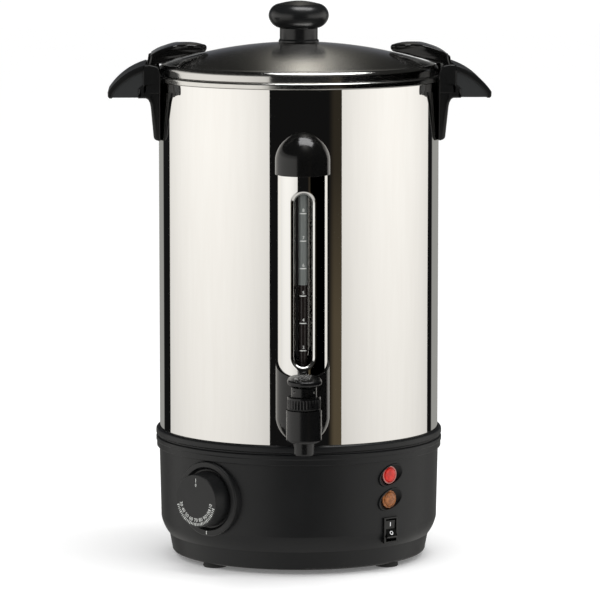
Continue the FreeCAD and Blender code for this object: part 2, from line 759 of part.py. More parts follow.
cap_low = S.gauge_high + 0.2
cap_high = cap_low + S.cap_tall
cap_wall = 2.0
cap_knee = cap_high - 22
keep(cut("gauge_cap", at(turned("cap_body", [
    (S.cap_radius - cap_wall, cap_low),
    (S.cap_radius, cap_low),
    (S.cap_radius, cap_knee),
    (S.cap_radius - 8.2, cap_high - 6, 23),
    (0, cap_high, sphere(S.cap_radius - 8.2, 6)),
    (0, cap_high - cap_wall),
    (S.cap_radius - 9.4, cap_high - 7.6, -sphere(S.cap_radius - 9.4, 7.6 - cap_wall)),
    (S.cap_radius - cap_wall, cap_knee, -21),
]), FRONT, gauge_x), drum("cap_drum")), "gauge_cap")

shroud_inside = S.gauge_radius + 0.2
shroud_foot = S.shroud_radius - 6.8
shroud_floor = 1.6
shroud = at(turned("shroud_body", [
    (0, S.shroud_low),
    (shroud_foot, S.shroud_low),
    (S.shroud_radius, S.shroud_low + 15, 24),
    (S.shroud_radius, S.shroud_front + S.shroud_rise + 6),
    (shroud_inside, S.shroud_front + S.shroud_rise + 6),
    (shroud_inside, S.shroud_low + 15.4),
    (shroud_foot - 1, S.shroud_low + shroud_floor, -24),
    (0, S.shroud_low + shroud_floor),
]), FRONT, gauge_x)
slant = at(sliced("shroud_slant", [
    (S.shell_radius - 6, S.shroud_front + S.shroud_rise + 2.4),
    (gauge_front + 4, S.shroud_front - 1),
    (gauge_front + 4, S.shroud_front + S.shroud_rise + 12),
    (S.shell_radius - 6, S.shroud_front + S.shroud_rise + 12),
], S.shroud_radius + 4), FRONT)
boss_hole = rod_out("boss_hole", S.shank_boss + S.gap, gauge_x, S.tap_reach, FRONT, S.shank_height)
keep(cut("shroud", shroud, slant, boss_hole, drum("shroud_drum")), "gauge_lower_housing")

# The tube stands in a seal in the tap's port and ends in a seal in a bracket under the cap.
port_radius = 7.4
seal_radius = 5.6
port_top = S.gauge_low + 6
tube_low = S.shank_height + 15
bracket_low = S.gauge_high + 6
bracket_high = bracket_low + 10
tube_high = bracket_high - 1
keep(at(turned("tube_body", [
    (S.tube_radius - S.tube_wall, tube_low),
    (S.tube_radius, tube_low),
    (S.tube_radius, tube_high),
    (S.tube_radius - S.tube_wall, tube_high),
]), FRONT, tube_x), "gauge_tube")
seals = []
for name, low, high in (("low", tube_low + 2, port_top), ("high", bracket_low, bracket_high)):
    seals.append(at(turned(f"seal_{name}", [
        (S.tube_radius + S.fit, low),
        (seal_radius, low),
        (seal_radius, high),
        (S.tube_radius + S.fit, high),
    ]), FRONT, tube_x))
group("gauge_seals", seals)
bracket_block = block("bracket_block", S.shell_radius - 4, tube_x + 8, 8, bracket_low, bracket_high,
                      FRONT)
bracket_bore = rod("bracket_bore", seal_radius + S.fit, bracket_low - 1, bracket_high + 1,
                   angle=FRONT, out=tube_x)
keep(cut("gauge_bracket", bracket_block, bracket_bore, drum("bracket_drum")), "gauge_bracket")

# ---------------------------------------------------------------- tap
# Pulling the lever down lifts the stem and its seat cup against the spring.
barrel = at(turned("barrel_body", [
    (S.nozzle_bore - 1, S.tap_low),
    (S.tap_radius - 3, S.tap_low),
    (S.tap_radius, S.tap_low + 3, 3),
    (S.tap_radius, S.tap_high),
    (S.tap_chamber, S.tap_high),
    (S.tap_chamber, S.tap_seat),
    (S.nozzle_bore - 1, S.tap_seat),
]), FRONT, S.tap_reach)
shank_end = tank_inside - 13
chamber_edge = S.tap_reach - S.tap_chamber - 1
shank = rod_out("shank", S.shank_radius, shank_end, chamber_edge, FRONT, S.shank_height)
boss = rod_out("boss", S.shank_boss, S.shell_radius + 1.6, chamber_edge, FRONT, S.shank_height)
port = rod("port", port_radius, S.shank_height, port_top, angle=FRONT, out=tube_x)
way = rod_out("shank_bore", 4.5, shank_end - 1, S.tap_reach - 5, FRONT, S.shank_height)
port_way = rod("port_bore", S.tube_radius - S.tube_wall, S.shank_height, port_top, angle=FRONT,
               out=tube_x)
port_seat = rod("port_seat", S.tube_radius + S.fit, tube_low, port_top, angle=FRONT, out=tube_x)
port_seal = rod("port_seal", seal_radius + S.fit, tube_low + 2, port_top + 1, angle=FRONT, out=tube_x)
joined = fuse("tap_body", barrel, shank, boss, port)
keep(cut("tap_body", joined, way, port_way, port_seat, port_seal), "tap_body")
keep(at(turned("nozzle_body", [
    (S.nozzle_bore, S.nozzle_low),
    (S.nozzle_radius - 0.6, S.nozzle_low),
    (S.nozzle_radius, S.nozzle_low + 1.2),
    (S.nozzle_radius, S.tap_low),
    (S.nozzle_bore, S.tap_low),
]), FRONT, S.tap_reach), "tap_nozzle")

nut_thick = 6
nut_near = tank_inside - 3.2 - nut_thick
nut = block("nut_block", nut_near, nut_near + nut_thick, 12, S.shank_height - 12, S.shank_height + 12,
            FRONT)
nut_round = rod_out("nut_round", 14, nut_near - 1, nut_near + nut_thick + 1, FRONT, S.shank_height)
nut_bore = rod_out("nut_bore", S.shank_radius + S.fit, nut_near - 1, nut_near + nut_thick + 1, FRONT,
                   S.shank_height)
keep(cut("shank_nut", common("shank_nut", nut, nut_round), nut_bore), "shank_nut")
washer = rod_out("washer_disc", 13, nut_near + nut_thick, tank_inside + 1, FRONT, S.shank_height)
washer_bore = rod_out("washer_bore", S.shank_radius + S.fit, nut_near, tank_inside + 2, FRONT,
                      S.shank_height)
washer_drum = turned("washer_drum", [
    (tank_inside - 0.1, tank_floor),
    (tank_outside + 10, tank_floor),
    (tank_outside + 10, S.shank_height + 20),
    (tank_inside - 0.1, S.shank_height + 20),
])
keep(cut("shank_seal", washer, washer_bore, washer_drum), "shank_seal")

bonnet_low = S.tap_high + 0.1
bonnet_high = bonnet_low + S.bonnet_tall
neck_high = bonnet_high + S.neck_tall
stem_hole = S.stem_radius + S.gap
bonnet = at(turned("bonnet_body", [
    (stem_hole, bonnet_low),
    (S.bonnet_radius - 0.6, bonnet_low),
    (S.bonnet_radius, bonnet_low + 0.6),
    (S.bonnet_radius, bonnet_high - 0.8),
    (S.bonnet_radius - 0.8, bonnet_high),
    (S.neck_radius, bonnet_high),
    (S.neck_radius, neck_high),
    (S.neck_bore, neck_high),
    (S.neck_bore, bonnet_low + 3.8),
    (stem_hole, bonnet_low + 3.8),
]), FRONT, S.tap_reach)
lever_x = S.tap_reach + S.lever_pin_out
lever_z = S.tap_high + S.lever_pin_up
hub_half = 3.6
hub_notch = block("hub_notch", S.tap_reach + 4, S.tap_reach + 14, hub_half + 0.6, lever_z - 1.5,
                  neck_high + 1, FRONT)
lever_pin_hole = rod_across("lever_pin_hole", 1.0 + 0.02, 12, FRONT, lever_x, lever_z)
keep(cut("tap_bonnet", bonnet, hub_notch, lever_pin_hole), "tap_bonnet")
keep(rod_across("lever_pin_rod", 1.0, 8.6, FRONT, lever_x, lever_z), "lever_pin")

lever_high = S.lever_low + S.lever_thick
heel_low = S.tap_high + 7.5
heel_top = heel_low + 2.5
hub_near = S.tap_reach + 4.4
hub_far = S.tap_reach + 8.2
heel = at(sliced("lever_heel", [
    (S.tap_reach - 3.6, heel_low),
    (hub_far, heel_low),
    (hub_far, S.lever_low + 0.5),
    (hub_near, S.lever_low + 0.5),
    (hub_near, heel_top),
    (S.tap_reach - 3.6, heel_top),
], hub_half), FRONT)
paddle_side = at(sliced("paddle_side", [
    (S.tap_reach - S.lever_back, S.lever_low + 0.6),
    (hub_near, S.lever_low),
    (S.tap_reach + S.lever_front - 1, S.lever_low - 0.8),
    (S.tap_reach + S.lever_front, lever_high - 2.4, 1.8),
    (S.tap_reach + S.lever_front - 2, lever_high - 1.2, 2),
    (S.tap_reach, lever_high, 90),
    (S.tap_reach - S.lever_back, lever_high - 1.2, 60),
], S.lever_half), FRONT)
paddle_plan = at(raised("paddle_plan", [
    (S.tap_reach - S.lever_back, -8, 22),
    (S.tap_reach + S.lever_front - 10, -S.lever_half),
    (S.tap_reach + S.lever_front, 0, S.lever_half + 4),
    (S.tap_reach + S.lever_front - 10, S.lever_half, S.lever_half + 4),
    (S.tap_reach - S.lever_back, 8),
], S.lever_low - 5, lever_high + 5), FRONT)
lever = fuse("tap_lever", heel, common("paddle", paddle_side, paddle_plan))
fork = block("lever_fork", S.tap_reach - 6, S.tap_reach + 4.6, S.stem_radius + 0.4, heel_low - 1,
             heel_top + 1, FRONT)
lever_bore = rod_across("lever_bore", 1.0 + S.fit, hub_half + 1, FRONT, lever_x, lever_z)
keep(cut("tap_lever", lever, fork, lever_bore), "tap_lever")

cup_tall = 3.0
stem_collar = S.tap_seat + S.fit + cup_tall
head_low = heel_top + 0.6
keep(at(turned("stem_body", [
    (0, stem_collar - 1.5),
    (S.stem_radius, stem_collar - 1.5),
    (S.stem_radius, stem_collar),
    (6, stem_collar),
    (6, stem_collar + 2.2),
    (S.stem_radius, stem_collar + 2.2),
    (S.stem_radius, head_low),
    (S.stem_radius + 0.9, head_low),
    (S.stem_radius + 0.9, head_low + 2),
    (0, head_low + 2),
]), FRONT, S.tap_reach), "tap_stem")
keep(at(turned("cup_body", [
    (0, S.tap_seat + S.fit),
    (7, S.tap_seat + S.fit),
    (7.8, S.tap_seat + S.fit + 1.2),
    (7.8, stem_collar),
    (S.stem_radius + S.fit, stem_collar),
    (S.stem_radius + S.fit, stem_collar - 1.6),
    (0, stem_collar - 1.6),
]), FRONT, S.tap_reach), "tap_seat_cup")

spring_wire = 0.6
spring_low = stem_collar + 2.2 + spring_wire + 0.05
spring_high = bonnet_low - spring_wire - 0.05
spring_coil = 4.6
spine = doc.addObject("Part::Helix", "spring_spine")
bind(spine, Height=spring_high - spring_low, Pitch=(spring_high - spring_low) / 5, Radius=spring_coil)
at(spine, FRONT, S.tap_reach, up=spring_low)
wire = bind(doc.addObject("Part::Circle", "spring_wire"), Radius=spring_wire)
at(wire, FRONT, S.tap_reach + spring_coil, up=spring_low, lie=Turn(Vec(1, 0, 0), 90))
spring = doc.addObject("Part::Sweep", "spring_sweep")
spring.Sections = [wire]
spring.Spine = (spine, [])
spring.Solid = True
spring.Frenet = True
keep(spring, "tap_spring")

# ---------------------------------------------------------------- dial and thermostat
dial_turn = FRONT - S.dial_angle
wall_slope = S.base_taper / (collar_foot - S.base_round)


def wall_at(height):
    """The base wall's outside radius at a height on its tapered part."""
    return round_radius + (size(height) - S.base_round) * wall_slope


dial_wall = wall_at(S.dial_height)
bezel_front = dial_wall + S.bezel_proud
bezel_floor = dial_wall + 0.6
dial_face = dial_wall + S.dial_proud
bezel = at(turned("bezel_body", [
    (dial_wall - 8, S.shaft_radius + 0.6),
    (bezel_floor, S.shaft_radius + 0.6),
    (bezel_floor, S.bezel_inside - 1),
    (bezel_front - 1, S.bezel_inside),
    (bezel_front, S.bezel_inside + 1.2, -1.6),
    (bezel_front - 1.4, S.bezel_radius - 1.4),
    (bezel_front - 3, S.bezel_radius, -2.2),
    (dial_wall - 8, S.bezel_radius),
], "H_Axis"), dial_turn, up=S.dial_height)
wall_drum = turned("wall_drum", [
    (0, S.base_step),
    (S.base_step_radius + 0.05, S.base_step),
    (round_radius + 0.05, S.base_round, 30),
    (wall_at(collar_foot) + 0.05, collar_foot),
    (0, collar_foot),
])
keep(cut("dial_bezel", bezel, wall_drum), "dial_bezel")
dial_back = bezel_floor + 0.6
keep(at(turned("dial_body", [
    (dial_back, S.shaft_radius + S.fit),
    (dial_back, S.dial_radius + 1.4),
    (dial_back + 2, S.dial_radius + 1.2),
    (dial_face - 1.2, S.dial_radius),
    (dial_face, S.dial_radius - 1.2, -1.2),
    (dial_face, 0),
    (dial_face - 3, 0),
    (dial_face - 3, S.shaft_radius + S.fit),
], "H_Axis"), dial_turn, up=S.dial_height), "dial_knob")
thermostat_face = dial_wall - 9
keep(rod_out("shaft", S.shaft_radius, thermostat_face, dial_face - 3.2, dial_turn, S.dial_height),
     "thermostat_shaft")
keep(block("thermostat_block", thermostat_face - 22, thermostat_face - 0.2, 15, S.dial_height - 15,
           S.dial_height + 15, dial_turn), "thermostat_body")
base_tools.append(rod_out("shaft_hole", S.shaft_radius + 3, dial_wall - 6, dial_wall + 4, dial_turn,
                          S.dial_height))

# ---------------------------------------------------------------- lamps
# Each lens stands in a dished, eye-shaped surround that is let into the base wall.
lamp_turn = FRONT + S.lamp_angle


def eye(name, grow, near, far, height):
    """An ellipse, tilted up to the right, that faces outward."""
    ring = doc.addObject("Part::Ellipse", name + "_ring")
    bind(ring, MajorRadius=S.eye_long + grow, MinorRadius=S.eye_short + grow)
    lie = Turn(Vec(0, 1, 0), 90).multiply(Turn(Vec(0, 0, 1), 90 + S.eye_tilt.value))
    at(ring, lamp_turn, near, 0, height, lie=lie)
    slab = doc.addObject("Part::Extrusion", name)
    slab.Base = ring
    slab.DirMode = "Custom"
    slab.Dir = Vec(cosine(lamp_turn).value, sine(lamp_turn).value, 0)
    slab.Solid = True
    bind(slab, LengthFwd=size(far) - near)
    return slab


lamp_bodies = []
for colour, height in (("red", S.lamp_high), ("amber", S.lamp_mid)):
    wall = wall_at(height)
    face = wall + 0.9
    dish_floor = wall - 2.4
    slab = eye(f"surround_{colour}", -S.gap, wall - 5, face, height)
    dish = at(turned(f"dish_{colour}", [
        (dish_floor, 0),
        (dish_floor, S.lamp_radius + 0.4),
        (face + 1, S.eye_long - 0.6, -26),
        (face + 1, 0),
    ], "H_Axis"), lamp_turn, up=height)
    dish_eye = eye(f"dish_eye_{colour}", -1.2, dish_floor - 1, face + 3, height)
    lens_bore = rod_out(f"lens_bore_{colour}", S.lamp_radius + S.fit, wall - 6, face + 3, lamp_turn, height)
    hollow = common(f"hollow_{colour}", dish, dish_eye)
    keep(cut(f"surround_{colour}", slab, hollow, lens_bore), f"lamp_surround_{colour}")
    keep(at(turned(f"lens_{colour}", [
        (wall - 6, 0),
        (wall - 6, S.lamp_radius),
        (wall - 0.6, S.lamp_radius),
        (wall + 1.4, 0, -sphere(S.lamp_radius, 2)),
    ], "H_Axis"), lamp_turn, up=height), f"lamp_{colour}")
    lamp_bodies.append(rod_out(f"lamp_body_{colour}", 5.5, wall - 24, wall - 6.05, lamp_turn, height))
    base_tools.append(eye(f"eye_hole_{colour}", 0, wall - 8, wall + 4, height))
group("lamp_bodies", lamp_bodies)

# ---------------------------------------------------------------- rocker switch
rocker_wall = wall_at(S.rocker_height)
frame_face = rocker_wall + 1.8
frame_half = S.rocker_wide / 2
frame_tall = S.rocker_tall / 2
window_half = frame_half - 1.8
window_tall = frame_tall - 1.1
frame = fuse("rocker_frame",
             block("frame_flange", rocker_wall - 0.4, frame_face, frame_half,
                   S.rocker_height - frame_tall, S.rocker_height + frame_tall, lamp_turn),
             block("frame_sleeve", rocker_wall - 16, rocker_wall, frame_half - 0.8,
                   S.rocker_height - frame_tall + 0.6, S.rocker_height + frame_tall - 0.6, lamp_turn))
window = block("frame_window", rocker_wall - 12, frame_face + 1, window_half,
               S.rocker_height - window_tall, S.rocker_height + window_tall, lamp_turn)
tabs = [block(f"switch_tab_{number}", rocker_wall - 24, rocker_wall - 16, 2.2,
              S.rocker_height + height, S.rocker_height + height + 0.8, lamp_turn)
        for number, height in enumerate((-7, -0.4, 6))]
rocker_pin = rod_across("rocker_pin", 1.2, window_half + 0.8, lamp_turn, rocker_wall - 4,
                        S.rocker_height)
pin_seat = rod_across("rocker_pin_seat", 1.2 + S.fit, window_half + 0.85, lamp_turn, rocker_wall - 4,
                      S.rocker_height)
keep(cut("rocker_frame", frame, window, pin_seat), "rocker_frame")
group("switch_tabs", tabs)
base_tools.append(block("frame_hole", rocker_wall - 10, rocker_wall + 5, frame_half - 0.5,
                        S.rocker_height - frame_tall + 0.3, S.rocker_height + frame_tall - 0.3,
                        lamp_turn))
base_tools.append(block("frame_recess", rocker_wall - 0.4, rocker_wall + 3, frame_half + S.fit,
                        S.rocker_height - frame_tall - S.fit, S.rocker_height + frame_tall + S.fit,
                        lamp_turn))
paddle_radius = window_tall - S.gap


def paddle_point(angle):
    """A point on the rocker's end arc, at an angle from straight outward, before its tilt."""
    tilted = angle + S.rocker_swing
    return (rocker_wall - 4 + paddle_radius * cosine(tilted),
            S.rocker_height + paddle_radius * sine(tilted))


corner_angle = Size(46)
heart = (rocker_wall - 4 + 4.6 * cosine(S.rocker_swing), S.rocker_height + 4.6 * sine(S.rocker_swing))
paddle = at(sliced("rocker_paddle", [
    paddle_point(-corner_angle) + (paddle_radius,),
    heart,
    paddle_point(corner_angle),
    paddle_point(corner_angle + 30) + (paddle_radius,),
    paddle_point(-corner_angle - 30),
], window_half - S.gap), lamp_turn)
keep(fuse("rocker", paddle, rocker_pin), "rocker")

# ---------------------------------------------------------------- works in the base
plate_top = tank_floor - 0.05
plate_low = plate_top - S.plate_thick
keep(rod("plate_disc", S.plate_radius, plate_low, plate_top), "heating_plate")
element_wire = 3.4
ring = doc.addObject("Part::Torus", "element_ring")
bind(ring, Radius1=S.element_radius, Radius2=element_wire)
keep(at(ring, up=plate_low - element_wire - 0.05), "heating_element")
keep(turned("warm_ring", [
    (S.plate_radius + 22, plate_top - 1.6),
    (S.plate_radius + 32, plate_top - 1.6),
    (S.plate_radius + 32, plate_top),
    (S.plate_radius + 22, plate_top),
]), "keep_warm_element")
keep(rod("cutout_can", 8, plate_low - 7, plate_low - 0.05), "thermal_cutout")
terminal_low = S.cover_low + S.cover_plate + 0.05
keep(block("terminal_bar", -22, 22, 8, terminal_low, terminal_low + 16, REAR), "terminal_block")

# ---------------------------------------------------------------- mains inlet at the back
inlet_near = wall_at(S.inlet_height) + 0.15
inlet_far = inlet_near + 2.4
socket_half = 10.0
socket_tall = 13.5
inlet_low = S.inlet_height - S.inlet_tall / 2
inlet_high = S.inlet_height + S.inlet_tall / 2
cavity_near = inlet_far - 16
socket = fuse("inlet_solid",
              block("inlet_flange", inlet_near, inlet_far, S.inlet_half, inlet_low, inlet_high, REAR),
              block("inlet_box", inlet_far - 20, inlet_near + 1, socket_half,
                    S.inlet_height - socket_tall, S.inlet_height + socket_tall, REAR))
cavity = block("inlet_cavity", cavity_near, inlet_far + 1, socket_half - 1.5,
               S.inlet_height - socket_tall + 1.5, S.inlet_height + socket_tall - 1.5, REAR)
inlet_tools = [cavity]
inlet_screws = []
for number, rise in enumerate((-S.inlet_pitch / 2, S.inlet_pitch / 2)):
    height = S.inlet_height + rise
    inlet_tools.append(rod_out(f"inlet_hole_{number}", 1.6 + S.gap, inlet_near - 1, inlet_far + 1, REAR,
                               height))
    base_tools.append(rod_out(f"inlet_bore_{number}", 1.6 + S.fit, inlet_near - 8, inlet_near + 1, REAR,
                              height))
    screw_head = rod_out(f"inlet_head_{number}", 3.0, inlet_far, inlet_far + 0.7, REAR, height)
    screw_shank = rod_out(f"inlet_shank_{number}", 1.6, inlet_near - 6, inlet_far + 0.1, REAR, height)
    inlet_screws.append(fuse(f"inlet_screw_{number}", screw_head, screw_shank))
group("inlet_screws", inlet_screws)
pins = []
for number, (across, rise) in enumerate(((0, 7), (-3.6, -7), (3.6, -7))):
    low = S.inlet_height + rise - 2
    pins.append(block(f"inlet_pin_{number}", cavity_near - 8, inlet_far - 4, 1, low, low + 4, REAR,
                      across))
    inlet_tools.append(block(f"inlet_pin_way_{number}", cavity_near - 6, inlet_far - 3, 1.05, low - 0.05,
                             low + 4.05, REAR, across))
group("inlet_pins", pins)
keep(cut("inlet_socket", socket, *inlet_tools), "inlet_socket")
base_tools.append(block("inlet_opening", inlet_far - 16, inlet_far + 4, socket_half + S.gap,
                        S.inlet_height - socket_tall - S.gap, S.inlet_height + socket_tall + S.gap,
                        REAR))
base_tools.append(block("inlet_recess", inlet_near, inlet_far + 4, S.inlet_half + S.fit,
                        inlet_low - S.fit, inlet_high + S.fit, REAR))
keep(cut("base", base, *base_tools), "base_housing")

# ---------------------------------------------------------------- check every object, then write the nodes
doc.recompute()
broken = [thing.Label for thing in doc.Objects if {"Invalid", "Error"} & set(thing.State)]
if broken:
    raise RuntimeError(f"these did not build: {broken}")
empty = [node.Label for node in nodes
         if node.Shape.isNull() or not node.Shape.isValid() or not node.Shape.Solids]
if empty:
    raise RuntimeError(f"these have no valid solid: {empty}")
os.makedirs("parts", exist_ok=True)
for node in nodes:
    node.Shape.exportStep(os.path.join("parts", node.Label + ".step"))
print(len(nodes), "nodes written")
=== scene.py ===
import json
import math

import bmesh
import bpy
import numpy as np
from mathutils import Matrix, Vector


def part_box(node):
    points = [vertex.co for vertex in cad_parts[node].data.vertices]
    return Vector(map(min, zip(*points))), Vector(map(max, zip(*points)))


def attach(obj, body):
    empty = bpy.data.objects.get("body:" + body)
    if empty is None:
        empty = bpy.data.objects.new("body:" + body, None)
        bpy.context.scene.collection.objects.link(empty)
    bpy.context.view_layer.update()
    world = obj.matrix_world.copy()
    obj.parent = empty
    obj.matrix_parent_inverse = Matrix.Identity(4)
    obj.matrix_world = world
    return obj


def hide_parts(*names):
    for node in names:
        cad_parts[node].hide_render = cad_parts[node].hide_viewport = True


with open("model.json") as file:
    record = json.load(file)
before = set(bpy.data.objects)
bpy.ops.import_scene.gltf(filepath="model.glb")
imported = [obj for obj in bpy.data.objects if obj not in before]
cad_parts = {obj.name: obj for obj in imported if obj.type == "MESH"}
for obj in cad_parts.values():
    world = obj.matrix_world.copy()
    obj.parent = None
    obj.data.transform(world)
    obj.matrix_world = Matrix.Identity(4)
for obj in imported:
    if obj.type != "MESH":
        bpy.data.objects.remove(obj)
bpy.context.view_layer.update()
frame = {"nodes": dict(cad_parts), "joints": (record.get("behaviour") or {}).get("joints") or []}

# ---------------------------------------------------------------- camera, floor and light
# The urn stands on a pale floor under one overhead softbox. Two long warm panels, left and right,
# and a dim room give the mirror-polished steel something to reflect; only reflections see them.
CAMERA_AWAY = 3.461
CAMERA_HEIGHT = 0.636
CAMERA_TURN = math.radians(-1.5)
CAMERA_DIP = math.radians(6.947)
LENS_MM = 249.6
SENSOR_MM = 36.0
LENS_SHIFT = 0.0021
FAR_CLIP = 100.0
WHITE = (1.0, 1.0, 1.0, 1.0)
SOFTBOX_SIZE = (1.0, 0.6)
SOFTBOX_WATTS = 11.0
SOFTBOX_PLACE = (0.25, -0.15, 1.55)

camera_data = bpy.data.cameras.new("camera")
camera_data.lens = LENS_MM
camera_data.sensor_width = SENSOR_MM
camera_data.shift_x = LENS_SHIFT
camera_data.clip_end = FAR_CLIP
camera = bpy.data.objects.new("camera", camera_data)
camera.location = (CAMERA_AWAY * math.sin(CAMERA_TURN), -CAMERA_AWAY * math.cos(CAMERA_TURN), CAMERA_HEIGHT)
camera.rotation_euler = (math.pi / 2 - CAMERA_DIP, 0.0, CAMERA_TURN)
bpy.context.collection.objects.link(camera)
bpy.context.scene.camera = camera
bpy.context.scene.view_settings.view_transform = "Standard"

world = bpy.data.worlds.new("studio")
world.use_nodes = True
world.node_tree.nodes["Background"].inputs["Color"].default_value = WHITE
world.node_tree.nodes["Background"].inputs["Strength"].default_value = 1.0
bpy.context.scene.world = world

softbox_data = bpy.data.lights.new("softbox", "AREA")
softbox_data.shape = "RECTANGLE"
softbox_data.size, softbox_data.size_y = SOFTBOX_SIZE
softbox_data.energy = SOFTBOX_WATTS
softbox = bpy.data.objects.new("softbox", softbox_data)
softbox.location = SOFTBOX_PLACE
softbox.visible_camera = False
bpy.context.collection.objects.link(softbox)


class Wire:
    """A shader socket. Arithmetic on wires adds Math nodes, and node() adds any other node."""

    def __init__(self, tree, socket=None):
        self.tree = tree
        self.socket = socket

    def node(self, kind, sockets=(), out=0, **settings):
        """Add a node: its settings first, then the value or the link of each of its sockets."""
        made = self.tree.nodes.new("ShaderNode" + kind)
        for name, value in settings.items():
            setattr(made, name, value)
        for name, value in dict(sockets).items():
            if isinstance(value, Wire):
                self.tree.links.new(value.socket, made.inputs[name])
            else:
                made.inputs[name].default_value = value
        return Wire(self.tree, made.outputs[out])

    def maths(self, operation, *values):
        """Add a Math node that does one operation on wires or numbers."""
        return self.node("Math", dict(enumerate(values)), operation=operation)

    def __add__(self, other):
        return self.maths("ADD", self, other)

    __radd__ = __add__

    def __mul__(self, other):
        return self.maths("MULTIPLY", self, other)

    __rmul__ = __mul__

    def __sub__(self, other):
        return self.maths("SUBTRACT", self, other)

    def __rsub__(self, other):
        return self.maths("SUBTRACT", other, self)

    def ramp(self, start, end):
        """0 below start, 1 above end and a smooth step between."""
        return self.node("MapRange", {"Value": self, "From Min": start, "From Max": end},
                         interpolation_type="SMOOTHSTEP")

    def noise(self, scale, detail=3.0, rough=0.55):
        """Cloudy noise over a place, with that many clouds to a metre."""
        return self.node("TexNoise", {"Vector": self, "Scale": scale, "Detail": detail, "Roughness": rough})

    def bump(self, strength, distance):
        """A normal that makes this wire look like a height of up to distance metres."""
        return self.node("Bump", {"Height": self, "Strength": strength, "Distance": distance})

    def mix(self, low, high):
        """A colour that goes from low to high as this wire goes from 0 to 1."""
        return self.node("Mix", {0: self, 6: (*low, 1.0), 7: (*high, 1.0)}, out=2, data_type="RGBA")


def finish(name, colour, roughness, feeds, metal=0.0, **constants):
    """A material. Constants are set on the shader's sockets; feeds(place) gives what varies over it."""
    material = bpy.data.materials.new(name)
    material.use_nodes = True
    tree = material.node_tree
    shader = tree.nodes["Principled BSDF"]
    shader.inputs["Base Color"].default_value = (*colour, 1.0)
    shader.inputs["Roughness"].default_value = roughness
    shader.inputs["Metallic"].default_value = metal
    for socket, value in constants.items():
        shader.inputs[socket.replace("_", " ")].default_value = value
    place = Wire(tree).node("TexCoord", out=3)
    for socket, wire in feeds(place).items():
        tree.links.new(wire.socket, shader.inputs[socket])
    return material


def floor_feeds(place):
    """Seamless studio paper: the faintest mottling."""
    mottle = place.noise(3.0)
    return {"Roughness": 0.85 + 0.1 * mottle, "Normal": place.noise(900.0).bump(0.02, 0.0002)}


FLOOR_HALF = 20.0
FLOOR_GLOW = 0.13
floor_mesh = bpy.data.meshes.new("floor")
floor_mesh.from_pydata([(-FLOOR_HALF, -FLOOR_HALF, 0), (FLOOR_HALF, -FLOOR_HALF, 0),
                        (FLOOR_HALF, FLOOR_HALF, 0), (-FLOOR_HALF, FLOOR_HALF, 0)], [], [(0, 1, 2, 3)])
floor = bpy.data.objects.new("floor", floor_mesh)
floor_mesh.materials.append(finish("studio_paper", (0.93, 0.93, 0.93), 0.9, floor_feeds,
                                Emission_Color=WHITE, Emission_Strength=FLOOR_GLOW))
floor.visible_glossy = False
bpy.context.collection.objects.link(floor)


def step(value, edge, soft):
    """A smooth step from 0 to 1 about an edge."""
    t = np.clip((value - edge) / soft + 0.5, 0, 1)
    return t * t * (3 - 2 * t)


def bell(value, centre, width):
    """A smooth bump: 1 at the centre, and 1/e at one width to either side."""
    return np.exp(-((value - centre) / width) ** 2)


ROOM_CENTRE = 0.25


def backdrop(name, radius, turns, rises, glow):
    """A piece of a sphere round the urn. turns are angles from the camera's side, rises are elevations,
    and glow(turn, rise) is the colour that each point sends back to a reflection."""
    turn, rise = np.meshgrid(turns, rises)
    a, e = np.radians(turn), np.radians(rise)
    points = np.stack([radius * np.sin(a) * np.cos(e), -radius * np.cos(a) * np.cos(e),
                       radius * np.sin(e) + ROOM_CENTRE], axis=-1)
    rows, columns = turn.shape
    index = np.arange(rows * columns).reshape(rows, columns)
    faces = np.stack([index[:-1, :-1], index[:-1, 1:], index[1:, 1:], index[1:, :-1]], axis=-1)
    mesh = bpy.data.meshes.new(name)
    mesh.from_pydata(points.reshape(-1, 3).tolist(), [], faces.reshape(-1, 4).tolist())
    colours = np.ones((rows * columns, 4), dtype=np.float32)
    colours[:, :3] = glow(turn, rise).reshape(-1, 3)
    mesh.color_attributes.new("glow", "FLOAT_COLOR", "POINT").data.foreach_set("color", colours.ravel())
    material = bpy.data.materials.new(name)
    material.use_nodes = True
    tree = material.node_tree
    tree.nodes.clear()
    light = Wire(tree).node("Attribute", attribute_name="glow")
    output = tree.nodes.new("ShaderNodeOutputMaterial")
    shine = light.node("Emission", {"Color": light})
    tree.links.new(shine.socket, output.inputs["Surface"])
    material.cycles.emission_sampling = "NONE"
    mesh.materials.append(material)
    piece = bpy.data.objects.new(name, mesh)
    for ray in ("camera", "diffuse", "transmission", "volume_scatter", "shadow"):
        setattr(piece, "visible_" + ray, False)
    bpy.context.collection.objects.link(piece)
    return piece


WARM = np.array([1.03, 1.01, 0.97])
LEFT_PANEL = (-133.8, -25.1)
RIGHT_PANEL = (33.6, 131.2)


def panel_glow(edges):
    """Brightest a third of the way in, a little dimmer towards its edges and its foot."""
    def glow(turn, rise):
        across = (turn - edges[0]) / (edges[1] - edges[0])
        level = 0.78 + 0.22 * np.sin(np.pi * np.clip(across, 0, 1)) ** 0.8
        level = level * (1.0 + 0.028 * np.clip(rise + 4.0, -8, 0)) * (1 - 0.5 * step(rise, 14, 12))
        return level[..., None] * WARM
    return glow


DIMNESS = 0.006
FAR_CORNER = np.array([0.30, 0.30, 0.285])
BROWN_EDGE = np.array([0.075, 0.058, 0.034])
LOW_SKY = np.array([0.10, 0.105, 0.12])
UPPER_WALL = np.array([0.014, 0.014, 0.013])
HIGH_PATCH = np.array([1.00, 0.96, 0.86])
TABLE_TOP = 0.55 * WARM
CEILING = 1.3 * WARM


